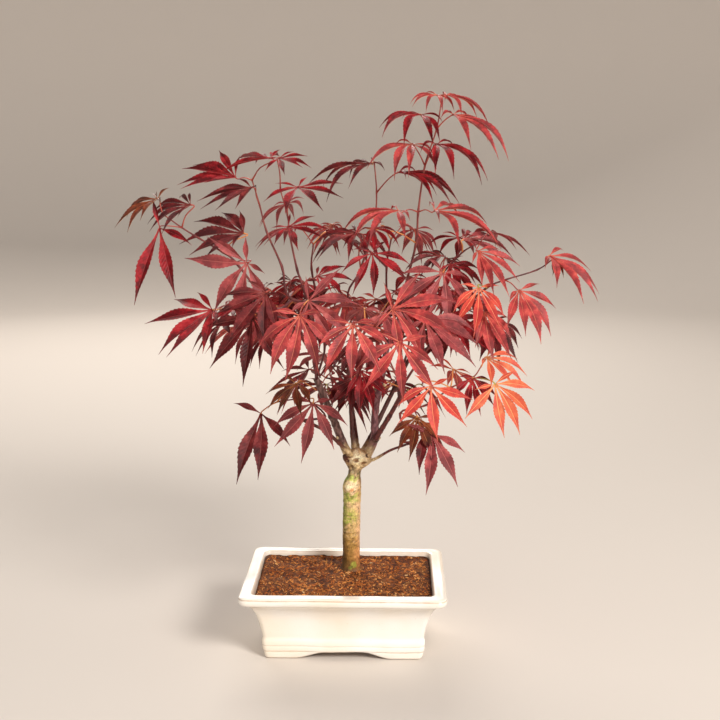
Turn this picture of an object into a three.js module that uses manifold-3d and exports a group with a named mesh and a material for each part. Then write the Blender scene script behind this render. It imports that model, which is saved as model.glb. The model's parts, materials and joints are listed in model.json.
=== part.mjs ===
// A small Japanese maple kept as a bonsai in a glazed rectangular pot.
//
// Lengths are millimetres and +Z is up. Inside the "bonsai" group the origin is the middle of the
// pot's underside, with the pot's long side along X and its back towards +Y. The group is then
// shifted so that the whole plant, crown included, stands centred over the part's own origin.
//
// Each foliage mass is a closed, uneven solid that stands for one clump of leaves. Masses, boughs
// and trunk are trimmed round one another so that no two solids touch.

import * as THREE from 'three';
import { mergeVertices } from 'three/addons/utils/BufferGeometryUtils.js';
import Module from 'manifold-3d';

const wasm = await Module();
wasm.setup();

// ---------------------------------------------------------------- driving dimensions

const GAP = 0.3; // clear space between neighbouring solids
const OVERRUN = 1; // how far a cutting shape runs past the face it cuts

const RIM_LENGTH = 200;
const RIM_DEPTH = 150;
const POT_HEIGHT = 70;
const RIM_CORNER_RADIUS = 9;
const RIM_WIDTH = 12.5;
const CORNER_STEPS = 3;

const FLOOR_TOP = 14;
const UNDERSIDE = 8; // height of the recessed underside between the feet
const FOOT_WIDTH = 11; // width of the foot ring, measured in from its outer face
const LONG_ARCH_HALF = 48; // half the width of the arch in each long side
const SHORT_ARCH_HALF = 27; // the same in each short side
const ARCH_RISE = 7.8;
const ARCH_FLAT = 0.32; // share of the arch that is level at the top
const DRAIN_RADIUS = 7;
const DRAIN_SPACING = 76;

const SOIL_EDGE = 62; // height of the soil where it meets the pot wall
const SOIL_CROWN = 65.7; // height of the soil where the trunk stands
const SOIL_PAD_RADIUS = 14; // level patch under the trunk

const TRUNK_FOOT = new THREE.Vector2(5, 22);
const TRUNK_SIDES = 14;
const BOUGH_SIDES = 8;

const CROWN_WIDTH = 473;
const CROWN_RIGHT = 248; // furthest leaf tip to the right of the pot's middle
const BONSAI_SHIFT = CROWN_WIDTH / 2 - CROWN_RIGHT;

const LARGE_MASS = 130; // masses wider than this are made with finer facets
const LUMP_HEIGHT = 0.17; // how far the lumps stand out, as a share of the radius
const RAGGED = 0.09; // how far the leafy rim of a mass goes in and out
const RIM_POINTS = 7; // points of leaves round that rim
const DROOP = 0.3; // how far the rim of a mass hangs, as a share of its height

// ---------------------------------------------------------------- colours

const GLAZE = { color: '#fbf3e2', roughness: 0.22, metalness: 0 };
const BARK_CHIPS = { color: '#8a5636', roughness: 0.95, metalness: 0 };
const TRUNK_BARK = { color: '#a3823f', roughness: 0.8, metalness: 0 };
const YOUNG_BARK = { color: '#5b3330', roughness: 0.65, metalness: 0 };
const LEAF_COLOURS = {
  crimson: '#a02428',
  rose: '#b4504a',
  burgundy: '#6d2026',
  coral: '#dd6d4b',
};

// ---------------------------------------------------------------- named measures

// Outside of the pot from the foot up: how far in from the rim's outer face, and the height.
const POT_OUTSIDE = [
  [25, 0],
  [22.5, 2.5],
  [21.5, 8],
  [20.6, 13],
  [20.6, 19],
  [21.4, 22],
  [20.4, 27],
  [18.5, 37],
  [15.3, 47],
  [12, 54],
  [7, 58.5],
  [3, 61.5],
  [0.4, 63.5],
  [0, 68.5],
  [1.2, POT_HEIGHT],
];

// Inside of the pot from the rim down, measured the same way.
const POT_INSIDE = [
  [RIM_WIDTH - 1, POT_HEIGHT],
  [RIM_WIDTH, 69],
  [RIM_WIDTH + 1, 60],
  [19, 53],
  [23, 46],
  [27, 34],
  [29, FLOOR_TOP],
];

// Trunk stations: height above the soil, centre to the right of its foot, half width, half depth.
const TRUNK_STATIONS = [
  [0, 0, 11.4, 11],
  [2.5, 0, 9.9, 9.7],
  [8, 0.1, 8.9, 8.8],
  [20, 0.3, 8.6, 8.6],
  [45, 0.6, 8.8, 8.7],
  [70, 1, 8.9, 8.8],
  [84, 1.6, 8.7, 8.6],
  [93, 2.4, 8, 8.1],
  [99, 3.4, 6.6, 7.2],
  [105, 4.4, 6.2, 6.9],
  [110, 5.6, 8.6, 7.9],
  [115, 6.3, 11, 9.2],
  [121, 6.4, 11.2, 9.4],
  [126, 6.2, 7.8, 7],
];

// Boughs: where each one runs, how thick it is at its foot and its end, and the mass it enters.
const BOUGHS = [
  {
    name: 'bough_left',
    route: [[8, 22, 180], [0, 21, 192], [-7, 19, 210], [-14, 14, 230], [-28, 2, 268]],
    thickness: [9.5, 6],
    enters: 'foliage_centre',
  },
  {
    name: 'bough_right',
    route: [[15, 22, 180], [24, 23, 191], [29, 25, 204], [29, 30, 224], [33, 34, 250], [42, 36, 300]],
    thickness: [9, 5.5],
    enters: 'foliage_heart',
  },
  {
    name: 'bough_front_right',
    route: [[30, 17, 205], [38, 10, 219], [47, 0, 237], [58, -16, 262]],
    thickness: [5.5, 4],
    enters: 'foliage_centre_right',
  },
  {
    name: 'bough_middle',
    route: [[9, 26, 188], [6, 34, 206], [4, 50, 232], [0, 72, 272]],
    thickness: [5, 3.6],
    enters: 'foliage_back_left',
  },
  {
    name: 'bough_back_right',
    route: [[17, 29, 187], [28, 46, 206], [44, 68, 236], [64, 94, 272]],
    thickness: [5.5, 3.8],
    enters: 'foliage_back_right',
  },
  {
    name: 'bough_back_low',
    route: [[12, 29, 186], [10, 48, 196], [6, 74, 214], [2, 92, 232]],
    thickness: [4.5, 3.4],
    enters: 'foliage_back_low',
  },
  {
    name: 'bough_low_right',
    route: [[18, 17, 180], [30, 12, 185], [46, 5, 196], [68, -2, 206]],
    thickness: [4, 3],
    enters: 'foliage_low_right',
  },
  {
    name: 'bough_low_left',
    route: [[6, 14, 188], [-6, 6, 202], [-20, -6, 218], [-40, -14, 230]],
    thickness: [4, 3],
    enters: 'foliage_low_left',
  },
];

// Foliage masses: middle, overall size, and tint. Each is trimmed round those listed before it.
const MASSES = [
  { name: 'foliage_top', middle: [88, 30, 499], size: [156, 118, 92], tint: 'crimson' },
  { name: 'foliage_spire', middle: [78, 22, 428], size: [176, 140, 66], tint: 'rose' },
  { name: 'foliage_short_shoot', middle: [4, 40, 474], size: [84, 60, 34], tint: 'crimson' },
  { name: 'foliage_upper_left', middle: [-88, 24, 440], size: [172, 130, 92], tint: 'crimson' },
  { name: 'foliage_far_left', middle: [-184, 4, 394], size: [82, 84, 108], tint: 'crimson' },
  { name: 'foliage_left', middle: [-104, -28, 362], size: [128, 116, 74], tint: 'rose' },
  { name: 'foliage_low_side', middle: [-132, 16, 300], size: [134, 120, 78], tint: 'burgundy' },
  { name: 'foliage_heart', middle: [34, 24, 352], size: [150, 126, 92], tint: 'burgundy' },
  { name: 'foliage_centre', middle: [-34, -62, 316], size: [126, 138, 104], tint: 'rose' },
  { name: 'foliage_centre_right', middle: [66, -74, 304], size: [134, 130, 108], tint: 'rose' },
  { name: 'foliage_front', middle: [14, -144, 300], size: [128, 92, 82], tint: 'crimson' },
  { name: 'foliage_right', middle: [154, 2, 352], size: [134, 136, 94], tint: 'crimson' },
  { name: 'foliage_far_right', middle: [216, 8, 368], size: [64, 72, 52], tint: 'crimson' },
  { name: 'foliage_right_low', middle: [116, -22, 244], size: [134, 112, 72], tint: 'coral' },
  { name: 'foliage_low_right', middle: [74, -2, 190], size: [70, 74, 72], tint: 'burgundy' },
  { name: 'foliage_low_left', middle: [-56, -20, 216], size: [112, 104, 84], tint: 'burgundy' },
  { name: 'foliage_back_left', middle: [-62, 112, 330], size: [160, 150, 92], tint: 'crimson' },
  { name: 'foliage_back_right', middle: [92, 116, 324], size: [160, 148, 92], tint: 'crimson' },
  { name: 'foliage_back_low', middle: [8, 116, 236], size: [128, 104, 66], tint: 'burgundy' },
  { name: 'foliage_back_top', middle: [-4, 108, 416], size: [150, 128, 70], tint: 'rose' },
];

// ---------------------------------------------------------------- shape helpers

// Closed solid through a stack of rings that all have the same number of points. Each ring runs
// anticlockwise when seen from the far end, and both end rings are convex and get a flat cap.
function loft(rings) {
  const count = rings[0].length;
  const positions = rings.flat().flatMap((point) => [point.x, point.y, point.z]);
  const faces = [];
  for (let level = 0; level < rings.length - 1; level += 1) {
    const near = level * count;
    const far = near + count;
    for (let i = 0; i < count; i += 1) {
      const next = (i + 1) % count;
      faces.push(near + i, near + next, far + next);
      faces.push(near + i, far + next, far + i);
    }
  }
  const last = (rings.length - 1) * count;
  for (let i = 1; i < count - 1; i += 1) {
    faces.push(0, i + 1, i);
    faces.push(last, last + i, last + i + 1);
  }
  const geometry = new THREE.BufferGeometry();
  geometry.setAttribute('position', new THREE.Float32BufferAttribute(positions, 3));
  geometry.setIndex(faces);
  return geometry;
}

// Rounded rectangle, level at height z, with its middle on the Z axis.
function roundedRectangle(halfLength, halfDepth, radius, z) {
  const ring = [];
  for (let corner = 0; corner < 4; corner += 1) {
    const signX = corner === 0 || corner === 3 ? 1 : -1;
    const signY = corner < 2 ? 1 : -1;
    for (let step = 0; step <= CORNER_STEPS; step += 1) {
      const angle = (corner + step / CORNER_STEPS) * (Math.PI / 2);
      const x = signX * (halfLength - radius) + radius * Math.cos(angle);
      const y = signY * (halfDepth - radius) + radius * Math.sin(angle);
      ring.push(new THREE.Vector3(x, y, z));
    }
  }
  return ring;
}

// Ring of the pot: the rim's outline drawn in by an inset, at height z.
function potRing([inset, z]) {
  const radius = Math.max(RIM_CORNER_RADIUS - inset * 0.2, 3);
  return roundedRectangle(RIM_LENGTH / 2 - inset, RIM_DEPTH / 2 - inset, radius, z);
}

// Level oval ring round a centre.
function ovalRing(centreX, centreY, halfWidth, halfDepth, z, sides) {
  return Array.from({ length: sides }, (_, i) => {
    const angle = (i / sides) * Math.PI * 2;
    const x = centreX + halfWidth * Math.cos(angle);
    const y = centreY + halfDepth * Math.sin(angle);
    return new THREE.Vector3(x, y, z);
  });
}

// Round limb along a smooth route, tapering from its foot to its end. Extra radius may be added.
function limb(route, thickness, extra = 0) {
  const curve = new THREE.CatmullRomCurve3(route.map((point) => new THREE.Vector3(...point)));
  const steps = (route.length - 1) * 2;
  const frames = curve.computeFrenetFrames(steps);
  const rings = [];
  for (let step = 0; step <= steps; step += 1) {
    const share = step / steps;
    const radius = THREE.MathUtils.lerp(thickness[0], thickness[1], share) / 2 + extra;
    const centre = curve.getPointAt(share);
    const ring = [];
    for (let i = 0; i < BOUGH_SIDES; i += 1) {
      const angle = (i / BOUGH_SIDES) * Math.PI * 2;
      const across = frames.normals[step].clone().multiplyScalar(Math.cos(angle));
      const up = frames.binormals[step].clone().multiplyScalar(Math.sin(angle));
      ring.push(centre.clone().addScaledVector(across.add(up), radius));
    }
    rings.push(ring);
  }
  return loft(rings);
}

// Height of a smooth, seeded pattern of lumps in a given direction from a mass's middle.
function lumps(direction, seed) {
  const wide = Math.sin(2.6 * direction.x + seed) * Math.cos(2.9 * direction.y - 1.7 * seed);
  const sharp = Math.sin(5.3 * direction.x - 2.1 * seed) * Math.sin(4.7 * direction.y + 1.3 * seed);
  const side = Math.cos(4.1 * direction.z + 2.9 * seed + 3 * direction.x);
  return 0.6 * wide + 0.5 * sharp + 0.4 * side;
}

// Uneven closed solid that fills a box of the given size, with a rim that hangs like leaves do.
function foliageMass({ middle, size }, seed, extra = 0) {
  const geometry = new THREE.IcosahedronGeometry(1, Math.max(...size) > LARGE_MASS ? 3 : 2);
  geometry.deleteAttribute('normal');
  geometry.deleteAttribute('uv');
  const mass = mergeVertices(geometry, 1e-4);
  const points = mass.getAttribute('position');
  const point = new THREE.Vector3();
  for (let i = 0; i < points.count; i += 1) {
    point.fromBufferAttribute(points, i).normalize();
    const outward = Math.hypot(point.x, point.y);
    const rim = outward * Math.sin(RIM_POINTS * Math.atan2(point.y, point.x) + seed);
    point.multiplyScalar(1 + LUMP_HEIGHT * lumps(point, seed) + RAGGED * rim);
    point.z -= DROOP * outward * outward;
    points.setXYZ(i, point.x, point.y, point.z);
  }
  mass.computeBoundingBox();
  const reach = mass.boundingBox.getSize(new THREE.Vector3());
  const core = mass.boundingBox.getCenter(new THREE.Vector3());
  mass.translate(-core.x, -core.y, -core.z);
  const [length, depth, height] = size.map((side) => side + 2 * extra);
  mass.scale(length / reach.x, depth / reach.y, height / reach.z);
  mass.translate(...middle);
  return mass;
}

// ---------------------------------------------------------------- cutting

function toSolid(geometry) {
  const bare = geometry.clone();
  bare.deleteAttribute('normal');
  bare.deleteAttribute('uv');
  const merged = mergeVertices(bare, 1e-4);
  return new wasm.Manifold(new wasm.Mesh({
    numProp: 3,
    vertProperties: new Float32Array(merged.getAttribute('position').array),
    triVerts: new Uint32Array(merged.getIndex().array),
  }));
}

function toGeometry(solid) {
  const mesh = solid.getMesh();
  const geometry = new THREE.BufferGeometry();
  geometry.setAttribute('position', new THREE.Float32BufferAttribute(mesh.vertProperties, 3));
  geometry.setIndex(Array.from(mesh.triVerts));
  return geometry;
}

function subtractAll(geometry, cutters) {
  const solid = cutters.reduce((rest, cutter) => rest.subtract(toSolid(cutter)), toSolid(geometry));
  return toGeometry(solid);
}

// ---------------------------------------------------------------- pot and soil

// Opening under one side of the foot ring: level in the middle and easing down to the ground.
function archCutter(halfWidth, length) {
  const stepsPerSide = 6;
  const shape = new THREE.Shape();
  shape.moveTo(-halfWidth, -OVERRUN);
  for (let side = -1; side <= 1; side += 2) {
    for (let step = 0; step <= stepsPerSide; step += 1) {
      const share = side < 0 ? step / stepsPerSide : 1 - step / stepsPerSide;
      const x = side * halfWidth * (1 - share * (1 - ARCH_FLAT));
      shape.lineTo(x, ARCH_RISE * THREE.MathUtils.smoothstep(share, 0, 1));
    }
  }
  shape.lineTo(halfWidth, -OVERRUN);
  const cutter = new THREE.ExtrudeGeometry(shape, { depth: length, bevelEnabled: false });
  cutter.translate(0, 0, -length / 2);
  cutter.rotateX(Math.PI / 2);
  return cutter;
}

function potGeometry() {
  const shell = loft([...POT_OUTSIDE, ...POT_INSIDE].map(potRing));
  const footInset = POT_OUTSIDE[1][0] + FOOT_WIDTH;
  const recess = loft([potRing([footInset, -OVERRUN]), potRing([footInset, UNDERSIDE])]);
  const longArches = archCutter(LONG_ARCH_HALF, RIM_DEPTH);
  const shortArches = archCutter(SHORT_ARCH_HALF, RIM_LENGTH).rotateZ(Math.PI / 2);
  const drains = [-1, 1].map((side) => {
    const hole = new THREE.CylinderGeometry(DRAIN_RADIUS, DRAIN_RADIUS, 2 * FLOOR_TOP, 20);
    return hole.rotateX(Math.PI / 2).translate((side * DRAIN_SPACING) / 2, 0, FLOOR_TOP);
  });
  return subtractAll(shell, [recess, longArches, shortArches, ...drains]);
}

function soilGeometry() {
  const walls = POT_INSIDE.filter(([, z]) => z < SOIL_EDGE).reverse();
  const rings = walls.map(([inset, z]) => potRing([inset + GAP, z]));
  rings[0].forEach((point) => {
    point.z += GAP;
  });
  const rimInset = RIM_WIDTH + 1 + GAP;
  const edge = potRing([rimInset, SOIL_EDGE]);
  rings.push(edge);
  const mound = new THREE.Vector3(TRUNK_FOOT.x, TRUNK_FOOT.y, SOIL_CROWN);
  const pad = edge.map((point) => {
    const outward = new THREE.Vector3(point.x - mound.x, point.y - mound.y, 0).normalize();
    return mound.clone().addScaledVector(outward, SOIL_PAD_RADIUS);
  });
  [0.4, 0.75].forEach((share) => {
    const rise = THREE.MathUtils.smoothstep(share, 0, 1) * (SOIL_CROWN - SOIL_EDGE);
    rings.push(edge.map((point, i) => {
      const between = point.clone().lerp(pad[i], share);
      return between.setZ(SOIL_EDGE + rise);
    }));
  });
  rings.push(pad);
  return loft(rings);
}

// ---------------------------------------------------------------- plant

function trunkGeometry(extra = 0) {
  const base = SOIL_CROWN + GAP;
  const rings = TRUNK_STATIONS.map(([height, across, halfWidth, halfDepth]) => {
    const x = TRUNK_FOOT.x + across;
    return ovalRing(x, TRUNK_FOOT.y, halfWidth + extra, halfDepth + extra, base + height, TRUNK_SIDES);
  });
  rings.at(-1).forEach((point) => {
    point.z += extra;
  });
  return loft(rings);
}

function massSeed(index) {
  return 1 + index * 0.83;
}

// Each mass gives way to the trunk, to boughs that pass it and to the masses before it.
function foliageGeometries() {
  const passing = (name) => BOUGHS.filter((bough) => bough.enters !== name)
    .map((bough) => limb(bough.route, bough.thickness, GAP));
  return MASSES.map((mass, index) => {
    const earlier = MASSES.slice(0, index)
      .map((other, place) => foliageMass(other, massSeed(place), GAP));
    const cutters = [trunkGeometry(GAP), ...passing(mass.name), ...earlier];
    return subtractAll(foliageMass(mass, massSeed(index)), cutters);
  });
}

// Each bough stands clear of the trunk, of the boughs before it and of the mass that it enters.
function boughGeometries() {
  return BOUGHS.map((bough, index) => {
    const place = MASSES.findIndex((mass) => mass.name === bough.enters);
    const earlier = BOUGHS.slice(0, index).map((other) => limb(other.route, other.thickness, GAP));
    const mass = foliageMass(MASSES[place], massSeed(place), GAP);
    return subtractAll(limb(bough.route, bough.thickness), [trunkGeometry(GAP), ...earlier, mass]);
  });
}

// ---------------------------------------------------------------- assembly

function named(name, geometry, finish) {
  const mesh = new THREE.Mesh(geometry, new THREE.MeshStandardMaterial(finish));
  mesh.name = name;
  return mesh;
}

const bonsai = new THREE.Group();
bonsai.position.x = BONSAI_SHIFT;
bonsai.add(named('pot', potGeometry(), GLAZE));
bonsai.add(named('soil', soilGeometry(), BARK_CHIPS));
bonsai.add(named('trunk', trunkGeometry(), TRUNK_BARK));
boughGeometries().forEach((geometry, i) => {
  bonsai.add(named(BOUGHS[i].name, geometry, YOUNG_BARK));
});
foliageGeometries().forEach((geometry, i) => {
  const finish = { color: LEAF_COLOURS[MASSES[i].tint], roughness: 0.6, metalness: 0 };
  bonsai.add(named(MASSES[i].name, geometry, finish));
});

const part = new THREE.Group();
part.add(bonsai);

export default part;
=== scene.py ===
import json
import math
import random

import bpy
import numpy as np
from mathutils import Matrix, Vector, noise
from mathutils.geometry import tessellate_polygon

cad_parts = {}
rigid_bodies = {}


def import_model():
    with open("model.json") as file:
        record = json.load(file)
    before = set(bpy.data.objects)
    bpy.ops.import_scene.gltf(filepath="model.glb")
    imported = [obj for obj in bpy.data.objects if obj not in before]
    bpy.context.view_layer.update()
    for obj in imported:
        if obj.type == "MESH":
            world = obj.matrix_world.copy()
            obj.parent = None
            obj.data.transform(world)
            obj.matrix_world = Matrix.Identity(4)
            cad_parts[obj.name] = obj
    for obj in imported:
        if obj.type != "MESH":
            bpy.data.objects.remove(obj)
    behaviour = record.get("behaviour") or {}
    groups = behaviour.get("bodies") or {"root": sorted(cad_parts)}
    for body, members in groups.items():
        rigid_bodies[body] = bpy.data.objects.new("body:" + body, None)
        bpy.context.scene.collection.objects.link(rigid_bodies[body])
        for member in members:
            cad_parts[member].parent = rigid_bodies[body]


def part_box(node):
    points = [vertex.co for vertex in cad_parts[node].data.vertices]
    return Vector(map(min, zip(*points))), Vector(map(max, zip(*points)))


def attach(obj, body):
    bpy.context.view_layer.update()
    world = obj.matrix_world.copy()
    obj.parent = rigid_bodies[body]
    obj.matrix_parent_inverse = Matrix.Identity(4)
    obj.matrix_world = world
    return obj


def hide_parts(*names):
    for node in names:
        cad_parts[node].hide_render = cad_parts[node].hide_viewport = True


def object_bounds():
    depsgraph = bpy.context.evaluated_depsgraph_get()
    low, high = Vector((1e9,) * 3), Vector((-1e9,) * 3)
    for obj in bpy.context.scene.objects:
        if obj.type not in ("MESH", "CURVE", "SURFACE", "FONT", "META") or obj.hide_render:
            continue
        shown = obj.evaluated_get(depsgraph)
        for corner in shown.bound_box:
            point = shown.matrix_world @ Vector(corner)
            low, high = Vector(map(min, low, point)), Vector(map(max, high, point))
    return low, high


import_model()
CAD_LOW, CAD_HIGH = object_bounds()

# A small red Japanese maple kept as a bonsai in a glazed rectangular pot.
# Lengths in this script are millimetres unless a name says otherwise; MM turns them into metres.
# Plant and pot are laid out from the middle of the pot's underside, +X right and +Y to the back.

MM = 0.001
POT_LOW, POT_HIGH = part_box("pot")
POT_MIDDLE = Vector(((POT_LOW.x + POT_HIGH.x) / 2, (POT_LOW.y + POT_HIGH.y) / 2, POT_LOW.z))
POT_SIZE = (POT_HIGH - POT_LOW) / MM
UP = Vector((0, 0, 1))


def to_mm(point):
    """A point of the frame, in millimetres from the middle of the pot's underside."""
    return (point - POT_MIDDLE) / MM


def spot(node, across, deep, high):
    """A place in a CAD node's box, as shares of its width, depth and height from its low corner."""
    low, high_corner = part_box(node)
    size = high_corner - low
    place = low + Vector((across * size.x, deep * size.y, high * size.z))
    return to_mm(place)


# ---------------------------------------------------------------- colours

def linear(code, alpha=1.0):
    """Linear RGBA of a colour given as six hex digits."""
    values = [int(code[i:i + 2], 16) / 255 for i in (0, 2, 4)]
    bent = [v / 12.92 if v <= 0.04045 else ((v + 0.055) / 1.055) ** 2.4 for v in values]
    return (*bent, alpha)


# Each leaf tint: its main colour, dark patches, light patches and ribs.
# Crimson is the leaves' plain colour. The others are partly the leaves' own colours and partly lit
# and shaded copies of it: rose is painted light on face-on leaves, dusty a painted sheen, burgundy
# and olive painted shade, and coral and amber a painted glow of light through the leaves over
# their own orange.
LEAF_TINTS = {
    "crimson": ("9c1620", "4e080e", "c83a3e", "b04444"),
    "rose": ("bc4444", "823436", "e46a5e", "d8795f"),
    "dusty": ("a4484a", "743436", "ca6e68", "bc6660"),
    "burgundy": ("742224", "3e0e12", "a04240", "8e463e"),
    "coral": ("da5242", "b83a3a", "ee805e", "f09a6c"),
    "amber": ("e06e4c", "ca5044", "ee9262", "f8b878"),
    "olive": ("823a22", "4e2416", "ae5c34", "a86c3c"),
}
# Tints that share another tint's slot in the part's record.
SLOT_TINTS = {"amber": "coral", "olive": "burgundy", "dusty": "rose"}


def rgb(code):
    """The same colour as a vector without its alpha, for blending."""
    return Vector(linear(code)[:3])


# ---------------------------------------------------------------- mesh helpers

def add_object(name, data):
    obj = bpy.data.objects.new(name, data)
    bpy.context.scene.collection.objects.link(obj)
    return obj


class Heap:
    """Points and faces gathered for one joined piece, with named values kept for each point.

    A value is given once for all the points added, as a list or as a function of the point.
    """

    def __init__(self, *values):
        self.points = []
        self.faces = []
        self.creases = []
        self.values = {name: [] for name in values}

    def add(self, points, faces, **values):
        start = len(self.points)
        self.points.extend(points)
        self.faces.extend(tuple(start + i for i in face) for face in faces)
        for name, kept in self.values.items():
            given = values.get(name, 0.0)
            if callable(given):
                kept.extend(given(point) for point in points)
            else:
                kept.extend(given if isinstance(given, list) else [given] * len(points))
        return start

    def piece(self, name, material, smooth=True):
        """The heap as a mesh object in the frame, in metres, with its place in its mesh."""
        mesh = bpy.data.meshes.new(name)
        mesh.from_pydata([POT_MIDDLE + Vector(p) * MM for p in self.points], [], self.faces)
        for value_name, kept in self.values.items():
            if isinstance(kept[0], Vector):
                layer = mesh.attributes.new(value_name, "FLOAT_COLOR", "POINT")
                layer.data.foreach_set("color", [c for colour in kept for c in (*colour, 1.0)])
            else:
                layer = mesh.attributes.new(value_name, "FLOAT", "POINT")
                layer.data.foreach_set("value", kept)
        mesh.polygons.foreach_set("use_smooth", [smooth] * len(mesh.polygons))
        if self.creases:
            self.mark_creases(mesh)
        mesh.materials.append(material)
        mesh.validate()
        mesh.update()
        return add_object(name, mesh)

    def mark_creases(self, mesh):
        """Edges that join two crease points stay sharp under smooth shading."""
        on_crease = np.zeros(len(mesh.vertices), bool)
        on_crease[self.creases] = True
        ends = np.zeros(len(mesh.edges) * 2, np.int32)
        mesh.edges.foreach_get("vertices", ends)
        sharp = on_crease[ends[0::2]] & on_crease[ends[1::2]]
        layer = mesh.attributes.new("sharp_edge", "BOOLEAN", "EDGE")
        layer.data.foreach_set("value", sharp)


def ring_faces(rings, count, closed_ends=True):
    """Faces of a stack of rings with the same number of points, capped at both ends."""
    faces = []
    for level in range(rings - 1):
        for i in range(count):
            near = level * count
            following = (i + 1) % count
            faces.append((near + i, near + following, near + count + following, near + count + i))
    if closed_ends:
        faces.append(tuple(reversed(range(count))))
        faces.append(tuple(range((rings - 1) * count, rings * count)))
    return faces


def smooth_route(points, steps):
    """Points along a smooth curve through the given ones, with so many steps to each stretch."""
    padded = [2 * points[0] - points[1], *points, 2 * points[-1] - points[-2]]
    route = []
    for i in range(1, len(padded) - 2):
        before, here, there, after = padded[i - 1:i + 3]
        for step in range(steps):
            t = step / steps
            route.append(0.5 * (
                2 * here
                + (there - before) * t
                + (2 * before - 5 * here + 4 * there - after) * t * t
                + (3 * here - before - 3 * there + after) * t * t * t
            ))
    route.append(points[-1].copy())
    return route


def add_tube(heap, route, radii, sides, bump=None, **values):
    """Round tube along a route, with a radius at each point, closed at both ends."""
    across = (route[1] - route[0]).orthogonal().normalized()
    points = []
    for i, centre in enumerate(route):
        ahead = (route[min(i + 1, len(route) - 1)] - route[max(i - 1, 0)]).normalized()
        across = (across - ahead * across.dot(ahead)).normalized()
        beside = ahead.cross(across)
        for side in range(sides):
            angle = side / sides * math.tau
            outward = across * math.cos(angle) + beside * math.sin(angle)
            radius = radii[i] + (bump(centre, outward) if bump else 0)
            points.append(centre + outward * radius)
    return heap.add(points, ring_faces(len(route), sides), **values)


def wobble(point, size, seed=0.0):
    """Smooth noise from -1 to 1 that changes over about the given size; a seed picks a pattern."""
    return noise.noise(Vector(point) / size + Vector((seed, 1.7 * seed, 2.3 * seed)))


def blend(low, high, share):
    """The value a share of the way from low to high, and never past them."""
    share = min(max(share, 0.0), 1.0)
    return low + (high - low) * share


def ease(low, high, value):
    """0 below low, 1 above high and smooth between them."""
    t = min(max((value - low) / (high - low), 0.0), 1.0)
    return t * t * (3 - 2 * t)


# ---------------------------------------------------------------- node helpers

def set_inputs(tree, node, inputs):
    """Links the inputs that are given a socket and sets the others."""
    for name, value in inputs.items():
        if isinstance(value, bpy.types.NodeSocket):
            tree.links.new(value, node.inputs[name])
        else:
            node.inputs[name].default_value = value


def add_node(tree, kind, inputs, **settings):
    node = tree.nodes.new(kind)
    for name, value in settings.items():
        setattr(node, name, value)
    set_inputs(tree, node, inputs)
    return node


class Finish:
    """A material in the making, with the object's own coordinates to lay its patterns on."""

    def __init__(self, name):
        self.material = bpy.data.materials.new(name)
        self.material.use_nodes = True
        self.tree = self.material.node_tree
        self.shader = self.tree.nodes["Principled BSDF"]
        self.place = self.add("ShaderNodeTexCoord", {}).outputs["Object"]

    def add(self, kind, inputs, **settings):
        return add_node(self.tree, kind, inputs, **settings)

    def dress(self, inputs):
        set_inputs(self.tree, self.shader, inputs)

    def noise(self, scale, detail=3.0, roughness=0.55, place=None):
        return self.add("ShaderNodeTexNoise", {
            "Vector": place or self.place, "Scale": scale, "Detail": detail,
            "Roughness": roughness}).outputs["Fac"]

    def stretched(self, scale):
        """The object's coordinates with each axis scaled by its own amount."""
        mapping = self.add("ShaderNodeMapping", {"Vector": self.place, "Scale": scale})
        return mapping.outputs["Vector"]

    def ramp(self, factor, *stops):
        """A colour for each value, blended between stops of a position and six hex digits."""
        ramp = self.add("ShaderNodeValToRGB", {"Fac": factor})
        elements = ramp.color_ramp.elements
        while len(elements) < len(stops):
            elements.new(0.5)
        for element, (position, colour) in zip(elements, stops):
            element.position = position
            element.color = linear(colour)
        return ramp.outputs["Color"]

    def mix(self, factor, first, second, mode="MIX"):
        inputs = {0: factor, 6: first, 7: second}
        return self.add("ShaderNodeMix", inputs, data_type="RGBA", blend_type=mode).outputs[2]

    def math(self, operation, first, second=0.0):
        inputs = {0: first, 1: second}
        return self.add("ShaderNodeMath", inputs, operation=operation).outputs["Value"]

    def value(self, name, output="Fac"):
        """A value or colour kept for each point of the mesh."""
        return self.add("ShaderNodeAttribute", {}, attribute_name=name).outputs[output]

    def bump(self, height, strength, distance_mm):
        bump = self.add("ShaderNodeBump", {
            "Height": height, "Strength": strength, "Distance": distance_mm * MM})
        self.dress({"Normal": bump.outputs["Normal"]})


# ---------------------------------------------------------------- pot

# Outside of the pot from the foot up: how far in from the rim's outer face, the height, and how
# strongly the brown of the clay is mixed in there: clay showing through the glaze at the foot and
# the glaze lines, and painted shadow under the rim's overhang.
POT_OUTSIDE = (
    (25.2, 0.0, 0.9), (23.8, 0.5, 0.7), (23.0, 1.6, 0.1), (22.4, 4.0, 0.0), (21.9, 6.8, 0.0),
    (22.0, 7.7, 0.5), (21.9, 8.2, 0.6), (21.3, 8.8, 0.1), (20.9, 11.0, 0.0), (20.8, 13.2, 0.0),
    (21.0, 13.9, 0.35), (20.7, 14.6, 0.0), (20.4, 16.5, 0.0), (20.6, 19.5, 0.0), (21.4, 22.0, 0.0),
    (20.9, 25.5, 0.0), (19.8, 31.0, 0.0), (18.4, 37.0, 0.0), (16.7, 43.0, 0.0), (14.9, 48.0, 0.0),
    # painted shadow under the rim's overhang, mixed in as the clay's brown
    (12.3, 53.0, 0.05), (9.4, 56.8, 0.15), (6.9, 59.2, 0.3), (5.0, 60.4, 0.45), (3.4, 60.9, 0.25),
    (1.7, 61.7, 0.0), (0.6, 63.2, 0.0), (0.1, 65.2, 0.0), (0.1, 66.8, 0.05), (0.6, 67.7, 0.75),
    (0.5, 68.2, 0.5), (0.5, 68.9, 0.05), (1.1, 69.6, 0.1), (2.3, 69.95, 0.0),
)
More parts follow.
